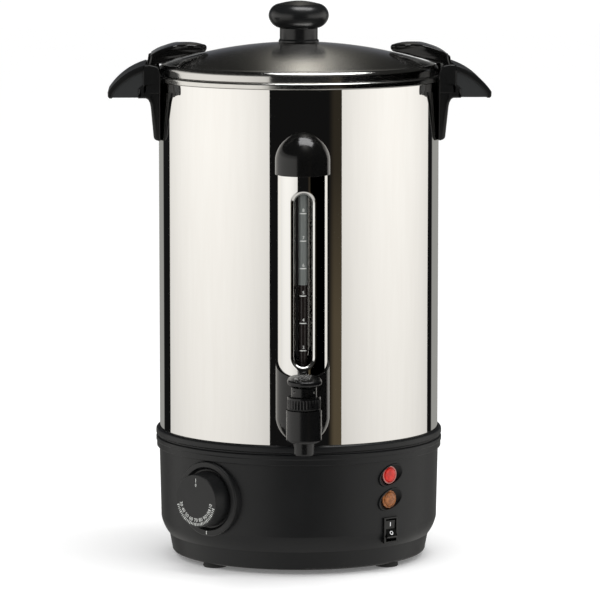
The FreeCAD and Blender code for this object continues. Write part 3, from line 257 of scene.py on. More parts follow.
def room_glow(turn, rise):
    """A dim room: a lighter far corner, brown at the right of the gap, a high patch behind the urn.

    Angles are in degrees: a step's edge and softness, or a bell's centre and width.
    """
    side = np.abs(turn)
    far = step(side, np.where(turn < 0, 150.0, 141.0), 2.5) * (1 - step(rise, 3, 8))
    brown = step(turn, 25.0, 6.0) * (1 - step(turn, 40.0, 4.0)) * (1 - 0.75 * step(rise, -6.0, 4.0))
    low_sky = bell(side, 180, 60) * bell(rise, 8, 7)
    upper = step(rise, 18, 20) * (1 - step(rise, 60, 20))
    patch = bell(np.mod(turn + 2.5, 360), 180, 3.5) * bell(rise, 46, 20)
    table = 1 - step(rise, -26, 12)
    overhead = bell(turn, 18, 24) * bell(rise, 72, 18)
    glows = ((far, FAR_CORNER), (brown, BROWN_EDGE), (low_sky, LOW_SKY), (upper, UPPER_WALL),
             (patch, HIGH_PATCH), (table, TABLE_TOP), (overhead, CEILING))
    return sum((area[..., None] * colour for area, colour in glows), start=DIMNESS)


ROOM_RADIUS = 8.2
PANEL_RADIUS = 8.0
PANEL_RISES = np.linspace(-30, 24, 28)
backdrop("room", ROOM_RADIUS, np.linspace(-180, 180, 721), np.linspace(-90, 90, 121), room_glow)
backdrop("left_panel", PANEL_RADIUS, np.linspace(*LEFT_PANEL, 120), PANEL_RISES, panel_glow(LEFT_PANEL))
right_panel = backdrop("right_panel", PANEL_RADIUS, np.linspace(*RIGHT_PANEL, 120), PANEL_RISES,
                       panel_glow(RIGHT_PANEL))
unlit_from_right = bpy.data.collections.new("unlit_from_right")
right_panel.light_linking.receiver_collection = unlit_from_right

# ---------------------------------------------------------------- shell
# The shell is a rolled tube of thin stainless steel, polished to a mirror, with its lower edge in
# the collar and its upper edge under the tank's rolled rim.
MM = 0.001
WELD = 2e-6
AROUND = 256
LEAD_IN = 0.08


def box_mm(node):
    """A node's lowest and highest corners, in millimetres."""
    low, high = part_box(node)
    return np.array(low) / MM, np.array(high) / MM


def rounded(corners, turn=14.0):
    """A closed outline. Each corner is (across, up) or (across, up, radius of its round).

    An arc has a point every turn degrees or closer, and a short straight at each end.
    """
    path = np.array([corner[:2] for corner in corners], dtype=float)
    pieces = []
    for index, corner in enumerate(corners):
        here = path[index]
        radius = corner[2] if len(corner) > 2 else 0
        if not radius:
            pieces.append(here[None])
            continue
        back = path[index - 1] - here
        ahead = path[(index + 1) % len(path)] - here
        back, ahead = back / np.linalg.norm(back), ahead / np.linalg.norm(ahead)
        half = math.acos(np.clip(back @ ahead, -1, 1)) / 2
        reach = radius / math.tan(half)
        middle = (back + ahead) / np.linalg.norm(back + ahead)
        centre = here + middle * radius / math.sin(half)
        first, last = here + back * reach - centre, here + ahead * reach - centre
        sweep = math.pi - 2 * half
        t = np.linspace(0, 1, max(3, math.ceil(math.degrees(sweep) / turn) + 1))[:, None]
        curve = centre + (np.sin((1 - t) * sweep) * first + np.sin(t * sweep) * last) / math.sin(sweep)
        pieces += [(curve[0] + back * LEAD_IN * radius)[None], curve,
                   (curve[-1] + ahead * LEAD_IN * radius)[None]]
    return np.concatenate(pieces)


def arc(start, end, bulge, steps=16):
    """Points from start to end on a circle that stands off the chord by bulge, positive to its left."""
    start, end = np.array(start, dtype=float), np.array(end, dtype=float)
    chord = end - start
    length = np.linalg.norm(chord)
    normal = np.array([-chord[1], chord[0]]) / length
    radius = (length * length / 4 + bulge * bulge) / (2 * bulge)
    centre = (start + end) / 2 + normal * (bulge - radius)
    first, last = start - centre, end - centre
    sweep = 2 * math.asin(min(1.0, length / 2 / abs(radius)))
    t = np.linspace(0, 1, steps + 1)[:, None]
    return centre + (np.sin((1 - t) * sweep) * first + np.sin(t * sweep) * last) / math.sin(sweep)


def wrapped(rows, columns):
    """Faces of a grid that closes on itself both ways."""
    index = np.arange(rows * columns).reshape(rows, columns)
    right, up = np.roll(index, -1, axis=1), np.roll(index, -1, axis=0)
    corner = np.roll(up, -1, axis=1)
    return np.stack([index, right, corner, up], axis=-1).reshape(-1, 4).tolist()


def turned(profile, steps=128):
    """A closed profile of (radius, height), carried round the vessel's axis: each point goes to its
    radius times the cosine and the sine of the turn."""
    around = np.linspace(0, 2 * np.pi, steps, endpoint=False)
    radius, height = profile[:, :1], profile[:, 1:]
    points = np.stack([radius * np.cos(around), radius * np.sin(around),
                       height + 0 * around], axis=-1)
    return points.reshape(-1, 3), wrapped(len(profile), steps)


def piece(name, parts, body, slot, material, stands_for=(), sharp=38.0, closed=True):
    """One object from parts of (points in millimetres, faces), its doubles merged and faces turned out."""
    points = np.concatenate([part[0] for part in parts]) * MM
    starts = np.cumsum([0] + [len(part[0]) for part in parts])
    faces = [[start + corner for corner in face] for start, part in zip(starts, parts) for face in part[1]]
    mesh = bpy.data.meshes.new(name)
    mesh.from_pydata(points.tolist(), [], faces)
    work = bmesh.new()
    work.from_mesh(mesh)
    bmesh.ops.remove_doubles(work, verts=work.verts, dist=WELD)
    if closed:
        bmesh.ops.recalc_face_normals(work, faces=work.faces)
    work.to_mesh(mesh)
    work.free()
    mesh.shade_smooth()
    mesh.set_sharp_from_angle(angle=math.radians(sharp))
    made = bpy.data.objects.new(name, mesh)
    mesh.materials.append(material)
    bpy.context.collection.objects.link(made)
    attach(made, body)
    if stands_for:
        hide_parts(*stands_for)
    return made


def mirror_feeds(place):
    """Polished sheet: long faint polishing streaks, a slight roll wave and thumb-soft smudges."""
    stretched = place.node("Mapping", {"Vector": place, "Scale": (60.0, 60.0, 5.0)})
    streak = stretched.noise(3.0, 4.0)
    smudge = place.noise(22.0, 5.0).ramp(0.5, 0.75)
    wave = place.node("Mapping", {"Vector": place, "Scale": (9.0, 9.0, 2.0)}).noise(1.5, 2.0)
    return {"Roughness": 0.012 + 0.02 * streak + 0.02 * smudge,
            "Base Color": streak.mix((0.90, 0.885, 0.86), (0.955, 0.945, 0.925)),
            "Normal": wave.bump(0.035, 0.004)}


shell_low, shell_high = box_mm("outer_shell")
shell_radius = shell_high[0]
SHELL_SHEET = 0.6
mirror_steel = finish("mirror_steel", (0.93, 0.92, 0.9), 0.08, mirror_feeds, metal=1.0)
shell_profile = rounded([(shell_radius - SHELL_SHEET, shell_low[2]), (shell_radius, shell_low[2], 0.2),
                         (shell_radius, shell_high[2], 0.2), (shell_radius - SHELL_SHEET, shell_high[2])])
piece("outer_shell_skin", [turned(shell_profile, AROUND)], "urn", "shell_steel", mirror_steel,
      ["outer_shell"])

# ---------------------------------------------------------------- tank and its rolled rim
# The tank is a deep-drawn stainless bowl. Its top edge is rolled out over the shell in a bright bead,
# and the lid sits on it.


def drawn_feeds(place):
    """Drawn steel: fine upright draw lines and water stains low down."""
    lines = place.node("Mapping", {"Vector": place, "Scale": (400.0, 400.0, 12.0)}).noise(1.0, 2.0)
    stain = place.noise(18.0, 5.0).ramp(0.45, 0.8)
    return {"Roughness": 0.16 + 0.08 * lines + 0.08 * stain,
            "Base Color": stain.mix((0.80, 0.79, 0.76), (0.72, 0.705, 0.67)),
            "Normal": lines.bump(0.03, 0.0004)}


tank_low, tank_high = box_mm("inner_tank")
rim_radius = tank_high[0]
RIM_DEPTH = 5.0
RIM_SHEET = 1.3
TANK_GAP = 3.3
TANK_SHEET = 0.8
tank_outside = shell_radius - SHELL_SHEET - TANK_GAP
tank_inside = tank_outside - TANK_SHEET
drawn_steel = finish("drawn_steel", (0.78, 0.77, 0.74), 0.2, drawn_feeds, metal=1.0)
piece("tank_skin", [turned(rounded([
    (0, tank_low[2]),
    (tank_outside, tank_low[2], 6.0),
    (tank_outside, tank_high[2] - RIM_SHEET),
    (rim_radius - RIM_SHEET, tank_high[2] - RIM_SHEET),
    (rim_radius - RIM_SHEET, tank_high[2] - RIM_DEPTH),
    (rim_radius, tank_high[2] - RIM_DEPTH, 0.5),
    (rim_radius, tank_high[2], 2.1),
    (tank_inside, tank_high[2], 0.6),
    (tank_inside, tank_low[2] + TANK_SHEET, 5.2),
    (0, tank_low[2] + TANK_SHEET),
]), AROUND)], "urn", "tank_steel", drawn_steel, ["inner_tank"])

# ---------------------------------------------------------------- lid
# The lid is spun from stainless sheet: a shallow dome that turns down into a short polished skirt,
# with a lip inside that locates it in the tank. Spinning leaves fine rings all round it.


def spun_feeds(place):
    """Spun steel: rings of fine grooves about the lid's centre, and a few deeper ones."""
    flat = place.node("VectorMath", {0: place, 1: (1.0, 1.0, 0.0)}, operation="MULTIPLY")
    radius = flat.node("VectorMath", {0: flat}, out=1, operation="LENGTH")
    rings = radius.node("CombineXYZ", {"X": radius * 2600.0, "Y": 0.3})
    groove = rings.noise(1.0, 3.0, 0.7)
    broad = radius.node("CombineXYZ", {"X": radius * 260.0}).noise(1.0, 2.0)
    tone = broad * 0.6 + groove * 0.4
    return {"Roughness": 0.12 + 0.10 * tone,
            "Base Color": tone.mix((0.66, 0.65, 0.63), (0.80, 0.79, 0.765)),
            "Normal": groove.bump(0.10, 0.0003)}


lid_low, lid_high = box_mm("lid")
lid_radius = lid_high[0]
lid_apex = lid_high[2]
LID_GAP = 0.3
lid_seat = tank_high[2] + LID_GAP
SKIRT = 8.7
LID_SHEET = 0.8
SHOULDER = 5.2
SHOULDER_DROP = 0.6
LIP_GAP = 0.5
shoulder = lid_seat + SKIRT
lip_outside = tank_inside - LIP_GAP
dome_edge = lid_radius - SHOULDER
spun_steel = finish("spun_steel", (0.74, 0.73, 0.7), 0.18, spun_feeds, metal=1.0, Anisotropic=0.9,
                    Anisotropic_Rotation=0.25)


def dome(edge, base, top, steps=40):
    """Half of a spherical cap, from its edge to the axis.

    The height is the sphere's centre plus the root of its radius squared less the point's squared.
    """
    sphere = (edge * edge + (top - base) ** 2) / (2 * (top - base))
    radius = np.linspace(edge, 0, steps)
    return np.stack([radius, top - sphere + np.sqrt(sphere ** 2 - radius ** 2)], axis=1)


lid_under = dome(dome_edge, shoulder - LID_SHEET, lid_apex - LID_SHEET)[::-1]
lid_outline = rounded([
    *lid_under,
    (lid_radius - LID_SHEET, shoulder - LID_SHEET - SHOULDER_DROP, 3.6),
    (lid_radius - LID_SHEET, lid_seat + LID_SHEET),
    (lip_outside - LID_SHEET, lid_seat + LID_SHEET),
    (lip_outside - LID_SHEET, lid_low[2]),
    (lip_outside, lid_low[2]),
    (lip_outside, lid_seat),
    (lid_radius, lid_seat, 0.4),
    (lid_radius, shoulder - SHOULDER_DROP, 4.4),
    *dome(dome_edge, shoulder, lid_apex),
], 8.0)
piece("lid_dome", [turned(lid_outline, AROUND)], "lid", "lid_steel", spun_steel, ["lid"])

# ---------------------------------------------------------------- knob
# A black phenolic mushroom, moulded with a waisted neck and screwed on from under the lid.


def gloss_feeds(place):
    """Polished black moulding: faint flow marks and dust-fine scratches."""
    flow = place.noise(60.0, 4.0)
    dust = place.noise(1400.0, 2.0)
    return {"Roughness": 0.10 + 0.07 * flow + 0.04 * dust,
            "Base Color": flow.mix((0.0025, 0.0025, 0.0025), (0.0050, 0.0050, 0.0048)),
            "Normal": place.noise(240.0, 2.0).bump(0.02, 0.0004)}


knob_low, knob_high = box_mm("lid_knob")
knob_radius = knob_high[0]
knob_top = knob_high[2]
gloss_black = finish("gloss_black", (0.004, 0.004, 0.004), 0.14, gloss_feeds)
knob_satin = finish("knob_satin", (0.008, 0.0085, 0.009), 0.24,
                    lambda place: {"Roughness": 0.22 + 0.08 * place.noise(50.0),
                                   "Base Color": place.noise(70.0).mix((0.006, 0.0064, 0.0068),
                                                                       (0.010, 0.0105, 0.011))})
KNOB_FLANGE = 16.8
KNOB_NECK = 15.8
knob_foot = knob_low[2] + 0.05
cap_under = (17.6, knob_top - 22.2)
cap_edge = (knob_radius - 0.2, knob_top - 12.6)
cap_shoulder = (knob_radius - 9.0, knob_top - 2.4)
piece("knob_mushroom", [turned(rounded([
    (0, knob_foot), (KNOB_FLANGE, knob_foot), (KNOB_FLANGE, knob_low[2] + 1.6, 0.6),
    (KNOB_NECK, knob_low[2] + 2.6, 0.8), (KNOB_NECK, knob_top - 22.5, 0.8),
    *arc(cap_under, cap_edge, -1.7, 10)[:-1],
    *arc(cap_edge, cap_shoulder, -2.5, 12)[:-1],
    *arc(cap_shoulder, (0.0, knob_top), -0.5, 14),
]), 96)], "lid", "knob_black", knob_satin, ["lid_knob"])

# ---------------------------------------------------------------- collar
# The collar is a moulded ring that carries the shell. Two beads run round it, and it hides the joint
# between the steel and the base.


def satin_feeds(place):
    """Satin moulded plastic: a fine eroded grain, faint mottling and slightly shinier high spots."""
    grain = place.noise(2600.0, 3.0)
    mottle = place.noise(35.0, 4.0)
    return {"Roughness": 0.34 + 0.10 * mottle + 0.08 * grain,
            "Base Color": mottle.mix((0.0045, 0.0050, 0.0056), (0.0070, 0.0076, 0.0085)),
            "Normal": grain.bump(0.10, 0.0002)}


satin_black = finish("satin_black", (0.006, 0.0065, 0.007), 0.4, satin_feeds, Specular_IOR_Level=0.38)
collar_low, collar_high = box_mm("base_collar")
collar_radius = collar_high[0]
base_radius = box_mm("base_housing")[1][0]
LEDGE = 5.6
BEAD_SINK = 0.6
GROOVE = 1.5
SHELL_PLAY = 0.15
ledge = shell_radius - LEDGE
collar_inside = shell_radius + SHELL_PLAY
high = collar_high[2]
piece("collar_beads", [turned(rounded([
    (ledge, collar_low[2] + 2.0),
    (base_radius + 0.2, collar_low[2] + 2.0),
    (base_radius + 0.2, collar_low[2]),
    (collar_radius - BEAD_SINK, collar_low[2], 0.7),
    (collar_radius - BEAD_SINK, high - 11.6, 0.8),
    (collar_radius, high - 11.0, 0.5),
    (collar_radius, high - 8.0, 0.9),
    (collar_radius - GROOVE, high - 7.2, 0.5),
    (collar_radius - GROOVE, high - 6.2, 0.5),
    (collar_radius, high - 5.4, 0.9),
    (collar_radius, high, 2.6),
    (collar_inside, high, 0.3),
    (collar_inside, shell_low[2]),
    (ledge, shell_low[2]),
]), AROUND)], "urn", "base_black", satin_black, ["base_collar"])


def wear(material, *names):
    """Give CAD nodes a finish."""
    for name in names:
        frame["nodes"][name].material_slots[0].material = material


# ---------------------------------------------------------------- base, bottom cover and feet
# The base is one moulding with a rounded lower edge and a step above the foot ring. The bottom cover
# is screwed to it from below, and four rubber feet stand under the cover.


def rubber_feeds(place):
    """Rubber: matt, with a bloom and a fine pitted skin."""
    pits = place.noise(1800.0, 2.0)
    bloom = place.noise(90.0, 4.0)
    return {"Roughness": 0.7 + 0.15 * bloom,
            "Base Color": bloom.mix((0.010, 0.010, 0.010), (0.024, 0.024, 0.024)),
            "Normal": pits.bump(0.15, 0.0002)}


foot_rubber = finish("foot_rubber", (0.02, 0.02, 0.02), 0.75, rubber_feeds)
wear(satin_black, "base_housing", "bottom_cover", "lamp_surround_red", "lamp_surround_amber")
wear(foot_rubber, "rubber_feet")


def screw_feeds(place):
    """Plated screws and pins: turned rings and handling dulling."""
    turned_marks = place.node("Mapping", {"Vector": place, "Scale": (300.0, 300.0, 2000.0)}).noise(1.0, 2.0)
    return {"Roughness": 0.24 + 0.14 * turned_marks, "Normal": turned_marks.bump(0.05, 0.0002)}


bright_screw = finish("bright_screw", (0.62, 0.62, 0.61), 0.3, screw_feeds, metal=1.0)
wear(bright_screw, "bottom_screws", "base_studs", "knob_screw", "knob_washer", "handle_screws",
     "lock_pin_left", "lock_pin_right", "lever_pin", "tap_stem", "tap_spring", "shank_nut",
     "thermostat_shaft", "switch_tabs", "inlet_screws")

# ---------------------------------------------------------------- handles
# Each handle is a black phenolic moulding: a glossy arched crest over a recessed side panel, a flat
# underside with a well for the fingers, two ears that carry the lock's pin, and a long tapering leg
# that lies against the shell and is screwed on from inside.


RIM_RINGS = 5
RIM_LEAD = 1.35
SIDE_LEAD = 1.15


def slab(outline, half, edge, across=2, band=False):
    """A closed outline of (out, up), given a thickness of twice half, with rounded rims of radius edge.

    half is one number or one for each point. Rings run from one flat side over its rim, across and
    round the other rim. Each side is closed with one face or, for a band whose second half of points
    runs back beside its first, with a ladder of faces.
    """
    half = np.broadcast_to(np.asarray(half, dtype=float), len(outline))
    ahead = np.roll(outline, -1, axis=0) - np.roll(outline, 1, axis=0)
    ahead = ahead / np.maximum(np.linalg.norm(ahead, axis=1, keepdims=True), 1e-9)
    area = np.sum(outline[:, 0] * np.roll(outline[:, 1], -1) - np.roll(outline[:, 0], -1) * outline[:, 1])
    inward = np.stack([-ahead[:, 1], ahead[:, 0]], axis=1) * (1 if area > 0 else -1)
    tilt = np.radians(np.linspace(0, 90, RIM_RINGS))
    inset = np.concatenate([[edge * RIM_LEAD], edge * (1 - np.sin(tilt))])
    drop = np.concatenate([[0.0], edge * (1 - np.cos(tilt))])
    span = np.linspace(1, -1, across + 1)[1:-1]
    rings = [(i, half - d) for i, d in zip(inset, drop)]
    rings += [(0.0, (half - edge * SIDE_LEAD) * s) for s in np.concatenate([[1.0], span, [-1.0]])]
    rings += [(i, -(half - d)) for i, d in zip(inset[::-1], drop[::-1])]
    points = np.stack([np.concatenate([outline + inward * i, side[:, None]], axis=1) for i, side in rings])
    points = points[..., [0, 2, 1]]
    rows, columns = len(rings), len(outline)
    index = np.arange(rows * columns).reshape(rows, columns)
    right = np.roll(index, -1, axis=1)
    faces = np.stack([index[:-1], right[:-1], right[1:], index[1:]], axis=-1).reshape(-1, 4).tolist()
    if not band:
        return points.reshape(-1, 3), faces + [index[0].tolist(), index[-1][::-1].tolist()]
    for ring, order in ((index[0], 1), (index[-1], -1)):
        ladder = np.stack([ring[:columns // 2], ring[::-1][:columns // 2]])
        faces += [rung[::order] for rung in np.stack(
            [ladder[0, :-1], ladder[0, 1:], ladder[1, 1:], ladder[1, :-1]], axis=-1).tolist()]
    return points.reshape(-1, 3), faces


def stand(part, angle):
    """Turn a part drawn as (out, side, up) to its place round the vessel."""
    points, faces = part
    cosine, sine = math.cos(angle), math.sin(angle)
    out, side, up = points[:, 0], points[:, 1], points[:, 2]
    return np.stack([out * cosine - side * sine, out * sine + side * cosine, up], axis=1), faces


RIM_CLEAR = 0.25
SHELL_CLEAR = 0.1


def hug(part):
    """Push points that would lie inside the shell or the rim out to its surface."""
    points, faces = part
    reach = np.hypot(points[:, 0], points[:, 1])
    clear = np.where(points[:, 2] > tank_high[2] - RIM_DEPTH - 0.4, rim_radius + RIM_CLEAR,
                     shell_radius + SHELL_CLEAR)
    grow = np.maximum(1, clear / reach)
    points = points.copy()
    points[:, 0] *= grow
    points[:, 1] *= grow
    return points, faces


def phenolic_feeds(place):
    """Satin phenolic: close mottling, a polished bloom where hands rub it and a very fine grain."""
    mottle = place.noise(50.0, 4.0)
    grain = place.noise(2200.0, 2.0)
    return {"Roughness": 0.27 + 0.10 * mottle + 0.05 * grain,
            "Base Color": mottle.mix((0.0030, 0.0032, 0.0034), (0.0055, 0.0058, 0.0060)),
            "Normal": grain.bump(0.06, 0.0002)}


satin_phenolic = finish("satin_phenolic", (0.0045, 0.0047, 0.005), 0.3, phenolic_feeds)
# The side panels' lighter grey base colour is painted light: a lit copy of the handles' black phenolic, a
# little rougher.
panel_phenolic_painted_lit = finish("panel_phenolic_painted_lit", (0.020, 0.022, 0.023), 0.5,
                        lambda place: {"Roughness": 0.5 + 0.1 * place.noise(400.0),
                                       "Normal": place.noise(2600.0).bump(0.12, 0.0002)})

handle_low, handle_high = box_mm("handle_right")
pin_low, pin_high = box_mm("lock_pin_right")
pin_x = (pin_low[0] + pin_high[0]) / 2
pin_z = (pin_low[2] + pin_high[2]) / 2
tip = handle_high[0]
handle_half = handle_high[1]
LEG_LENGTH = 38.2
under = handle_low[2] + LEG_LENGTH
leg_tip = handle_low[2]
KNUCKLE_HALF = 24.8
LEG_BACK = 1.5
inner = shell_radius - LEG_BACK
crest_x = pin_x + 4.6
crest_z = pin_z + 4.4

CREST_WALL = 5.6
PANEL_INSET = 4.0
EAR_BACK = 4.4
arch = arc((tip - 0.6, under + 5.0), (crest_x, crest_z), -3.5, 22)
arch_inside = arc((tip - 4.4, under + 3.4), (crest_x, crest_z - CREST_WALL), -2.7, 22)
crest = np.concatenate([[(tip - 2.2, under), (tip - 0.8, under + 1.3)], arch,
                        arch_inside[::-1], [(tip - 4.3, under + 1.4), (tip - 4.2, under)]])
panel = rounded([(crest_x - PANEL_INSET, under + 0.6), (tip - 3.4, under + 0.6, 0.6),
                 *arc((tip - 3.4, under + 4.4), (crest_x - PANEL_INSET, crest_z - PANEL_INSET), -3.0, 22)])
leg = rounded([
    (inner, leg_tip + 2.4), (shell_radius + 3.9, leg_tip + 2.8, 3.6), (shell_radius + 6.6, under - 4.6),
    (shell_radius + 9.0, under, 3.4), (crest_x + 6.0, under, 0.4), (crest_x + 6.0, under + 8.0, 2.0),
    (crest_x, crest_z - 15.0, 2.0), (inner, crest_z - 15.0)])
ear = rounded([
    (inner, under + 4), (crest_x + 2.0, under + 4), (crest_x + 2.0, crest_z - 0.6, 1.6),
    (crest_x - 4.0, crest_z - 0.2, 1.6), (pin_x - EAR_BACK, crest_z - 1.4, 2.0),
    (pin_x - 6.2, pin_z + 1.6, 1.2), (inner, pin_z - EAR_BACK)])
BOSS_HALF = 3.4
BOSS_ROUND = 3.2
boss = rounded([(pin_x + across * BOSS_HALF, pin_z + up * BOSS_HALF, BOSS_ROUND)
                for across, up in ((-1, -1), (1, -1), (1, 1), (-1, 1))])


def moved(part, side):
    """The same part, moved sideways."""
    points = part[0].copy()
    points[:, 1] += side
    return points, part[1]


LEG_TAPER = 10.0


def leg_half(up):
    """Half the leg's width: the full one at the underside, less the taper times the share of the way
    down to the power 1.3."""
    t = np.clip((up - leg_tip) / (under - leg_tip), 0, 1)
    return handle_half - LEG_TAPER * (1 - t) ** 1.3


EAR_GAP = 0.3
ear_half = (handle_half - KNUCKLE_HALF - EAR_GAP) / 2
ear_side = (handle_half + KNUCKLE_HALF + EAR_GAP) / 2
for side_name, angle in (("right", 0.0), ("left", math.pi)):
    body_part = [hug(slab(leg, leg_half(leg[:, 1]), 1.6, 12))]
    for sign in (1, -1):
        body_part.append(hug(moved(slab(ear, ear_half, 1.0), sign * ear_side)))
        body_part.append(moved(slab(boss, 0.8, 0.5), sign * (handle_half - 0.9)))
    body_part.append(slab(crest, handle_half, 1.2, 4, band=True))
    piece(f"handle_{side_name}_moulding", [stand(part, angle) for part in body_part], "urn",
          "handle_black", satin_phenolic, [f"handle_{side_name}"])
    panels = [moved(slab(panel, 1.5, 0.4), sign * (handle_half - 2.9)) for sign in (1, -1)]
    piece(f"handle_{side_name}_panels", [stand(part, angle) for part in panels], "urn", "handle_black",
          panel_phenolic_painted_lit)

# ---------------------------------------------------------------- lid locks
# A lock is a phenolic catch hinged on a pin between the handle's ears. Its long arched leaf lies over
# the dome and holds the lid down; ribs stiffen it above the knuckle.
lock_low, lock_high = box_mm("lock_right")
leaf_tip = lock_low[0]
leaf_top = lock_high[2]
leaf_root = (pin_x + 0.2, pin_z + 11.8)
tip_over = (leaf_tip + 1.4, pin_z + 18.8)
tip_under = (leaf_tip + 2.0, pin_z + 14.5)
leaf_upper = arc(leaf_root, tip_over, -5.4, 26)
leaf_under = np.concatenate([arc(tip_under, (pin_x - 9.8, pin_z + 4.9), 1.0, 12),
                             [(pin_x - 4.2, pin_z + 4.6)]])
lock_outline = np.concatenate([
    arc((pin_x - 4.0, pin_z), (pin_x + 4.0, pin_z), -3.999, 14)[:-1],
    arc((pin_x + 4.0, pin_z), leaf_root, 0.8, 6)[:-1], leaf_upper[:-1],
    arc(tip_over, tip_under, -1.4, 6)[:-1], leaf_under])
lock_outline[:, 1] = np.minimum(lock_outline[:, 1], leaf_top)
RIB_SIDES = (-18.0, -9.0, 9.0, 18.0)


def lock_half(out):
    """Half the lock's width: a smooth step from the knuckle's to the leaf's, times a superellipse that
    rounds the tip."""
    from_pin = pin_x - out
    leaf = 17.0 - 1.5 * np.clip((from_pin - 10) / 16, 0, 1)
    neck = step(from_pin, 25.0, 12.0)
    tip_round = np.clip((out - leaf_tip) / 17.0, 0.02, 1)
    return ((1 - neck) * KNUCKLE_HALF + neck * leaf) * np.sqrt(1 - (1 - tip_round) ** 2.4)


def lift(part):
    """Crown the leaf: a point drops by the square of its share of the half width."""
    points = part[0].copy()
    leaf = step(pin_x - points[:, 0], 8, 10)
    wide = np.maximum(lock_half(points[:, 0]), 1)
    droop = 0.6 + 0.8 * step(pin_x - points[:, 0], 24, 8)
    points[:, 2] -= droop * leaf * (points[:, 1] / wide) ** 2
    return points, part[1]


for side_name, angle in (("right", 0.0), ("left", math.pi)):
    parts = [lift(slab(lock_outline, lock_half(lock_outline[:, 0]), 1.5, 10))]
    for rib_side in RIB_SIDES:
        rib = rounded([(pin_x + 2.6, pin_z + 1.0, 0.5), (pin_x + 3.7, pin_z + 2.0, 0.5),
                       (pin_x + 2.4, pin_z + 10.4, 1.0), (pin_x - 1.0, pin_z + 11.6, 0.5),
                       (pin_x - 1.0, pin_z + 4.0)])
        parts.append(moved(slab(rib, 0.9, 0.4), rib_side))
    piece(f"lock_{side_name}_catch", [stand(part, angle) for part in parts], f"lock_{side_name}",
          "lock_black", gloss_black, [f"lock_{side_name}"])

# ---------------------------------------------------------------- sight gauge
# A chromed steel half-round stands on the shell. A long slot in its front, with a turned-in lip,
# shows a glass tube that fills to the level in the tank; printed marks on the tube read litres.


def chrome_feeds(place):
    """Bright plate: nearly flawless, with a soft haze and the odd polishing line."""
    haze = place.noise(40.0, 4.0)
    return {"Roughness": 0.04 + 0.05 * haze, "Normal": place.noise(14.0, 1.0).bump(0.015, 0.002)}


cover_low, cover_high = box_mm("gauge_cover")
gauge_radius = cover_high[0]
gauge_out = -cover_low[1] - gauge_radius
SLOT_HALF = 6.9
SLOT_ENDS = (cover_low[2] + 17.3, cover_high[2] - 14.7)
COVER_TURN = math.radians(108.5)
COVER_SHEET = 0.7
FRONT = -math.pi / 2


def slot_curve(half, steps):
    """The slot's edge as (side, up): up its right, over its round top, down its left and round below."""
    straight = np.linspace(0, 1, steps)[:, None]
    around = np.linspace(0, np.pi, steps)[1:-1]
    low, top = SLOT_ENDS[0] + SLOT_HALF, SLOT_ENDS[1] - SLOT_HALF
    right = np.array([half, low]) + straight * np.array([0, top - low])
    over = np.stack([half * np.cos(around), top + half * np.sin(around)], axis=1)
    left = np.array([-half, top]) + straight * np.array([0, low - top])
    below = np.stack([-half * np.cos(around), low - half * np.sin(around)], axis=1)
    return np.concatenate([right, over, left, below])


def frame_curve(steps):
    """The sheet's outer edge as (turn, up), point for point with the slot's edge."""
    t = np.linspace(0, 1, steps)[:, None]
    inner_t = np.linspace(0, 1, steps)[1:-1, None]
    low, top = cover_low[2], cover_high[2]
    right = np.array([COVER_TURN, low]) + t * np.array([0, top - low])
    over = np.array([COVER_TURN, top]) + inner_t * np.array([-2 * COVER_TURN, 0])
    left = np.array([-COVER_TURN, top]) + t * np.array([0, low - top])
    below = np.array([-COVER_TURN, low]) + inner_t * np.array([2 * COVER_TURN, 0])
    return np.concatenate([right, over, left, below])


def cover_grid(steps=28, rings=26):
    """The cover: rings from the lip's inner edge over its rounded fold and out over the half-round."""
    lip = 3.2
    fold = np.radians(np.linspace(90, 0, 10))
    rows = []
    edge = slot_curve(SLOT_HALF + lip, steps)
    edge_turn = np.arcsin(edge[:, 0] / gauge_radius)
    turned_in = [(5.2, 0.0), (3.6, 0.0)]
    for deep, widen in turned_in + [(lip * (1 - math.cos(a)), lip * (1 - math.sin(a))) for a in fold]:
        curve = slot_curve(SLOT_HALF + widen, steps)
        out = gauge_out + gauge_radius * np.cos(edge_turn) - deep
        rows.append(np.stack([out, curve[:, 0], curve[:, 1]], axis=1))
    outer = frame_curve(steps)
    for t in np.linspace(0, 1, rings)[1:]:
        turn = edge_turn + (outer[:, 0] - edge_turn) * t
        up = edge[:, 1] + (outer[:, 1] - edge[:, 1]) * t
        out = gauge_out + gauge_radius * np.cos(turn)
        rows.append(np.stack([out, gauge_radius * np.sin(turn), up], axis=1))
    points = np.stack(rows)
    count, columns = points.shape[:2]
    index = np.arange(count * columns).reshape(count, columns)
    right = np.roll(index, -1, axis=1)
    faces = np.stack([index[:-1], index[1:], right[1:], right[:-1]], axis=-1).reshape(-1, 4).tolist()
    return points.reshape(-1, 3), faces


chrome = finish("chrome_plate", (0.92, 0.915, 0.90), 0.06, chrome_feeds, metal=1.0)
cover = piece("gauge_half_round", [stand(cover_grid(), FRONT)], "urn", "gauge_chrome", chrome,
              ["gauge_cover"], sharp=60.0, closed=False)
thicken = cover.modifiers.new("sheet", "SOLIDIFY")
thicken.thickness = COVER_SHEET * MM
thicken.offset = -1.0

tube_low, tube_high = box_mm("gauge_tube")
tube_radius = tube_high[0]
tube_out = -(tube_low[1] + tube_high[1]) / 2
DRINK_LEVEL = 0.2424
MENISCUS = 0.0004
TUBE_WALL = 1.2


def glass_feeds(place):
    """Clear tube: cloudy grey where it is empty, near-black with coffee below the level."""
    height = place.node("SeparateXYZ", {"Vector": place}, out=2)
    empty = height.ramp(DRINK_LEVEL - MENISCUS, DRINK_LEVEL + MENISCUS)
    cloud = place.noise(70.0, 4.0)
    return {"Base Color": empty.mix((0.016, 0.013, 0.012), (0.19, 0.205, 0.195)),
            "Roughness": 0.03 + 0.05 * cloud}


glass = finish("gauge_glass", (0.2, 0.2, 0.2), 0.04, glass_feeds, Transmission_Weight=0.25, IOR=1.46)


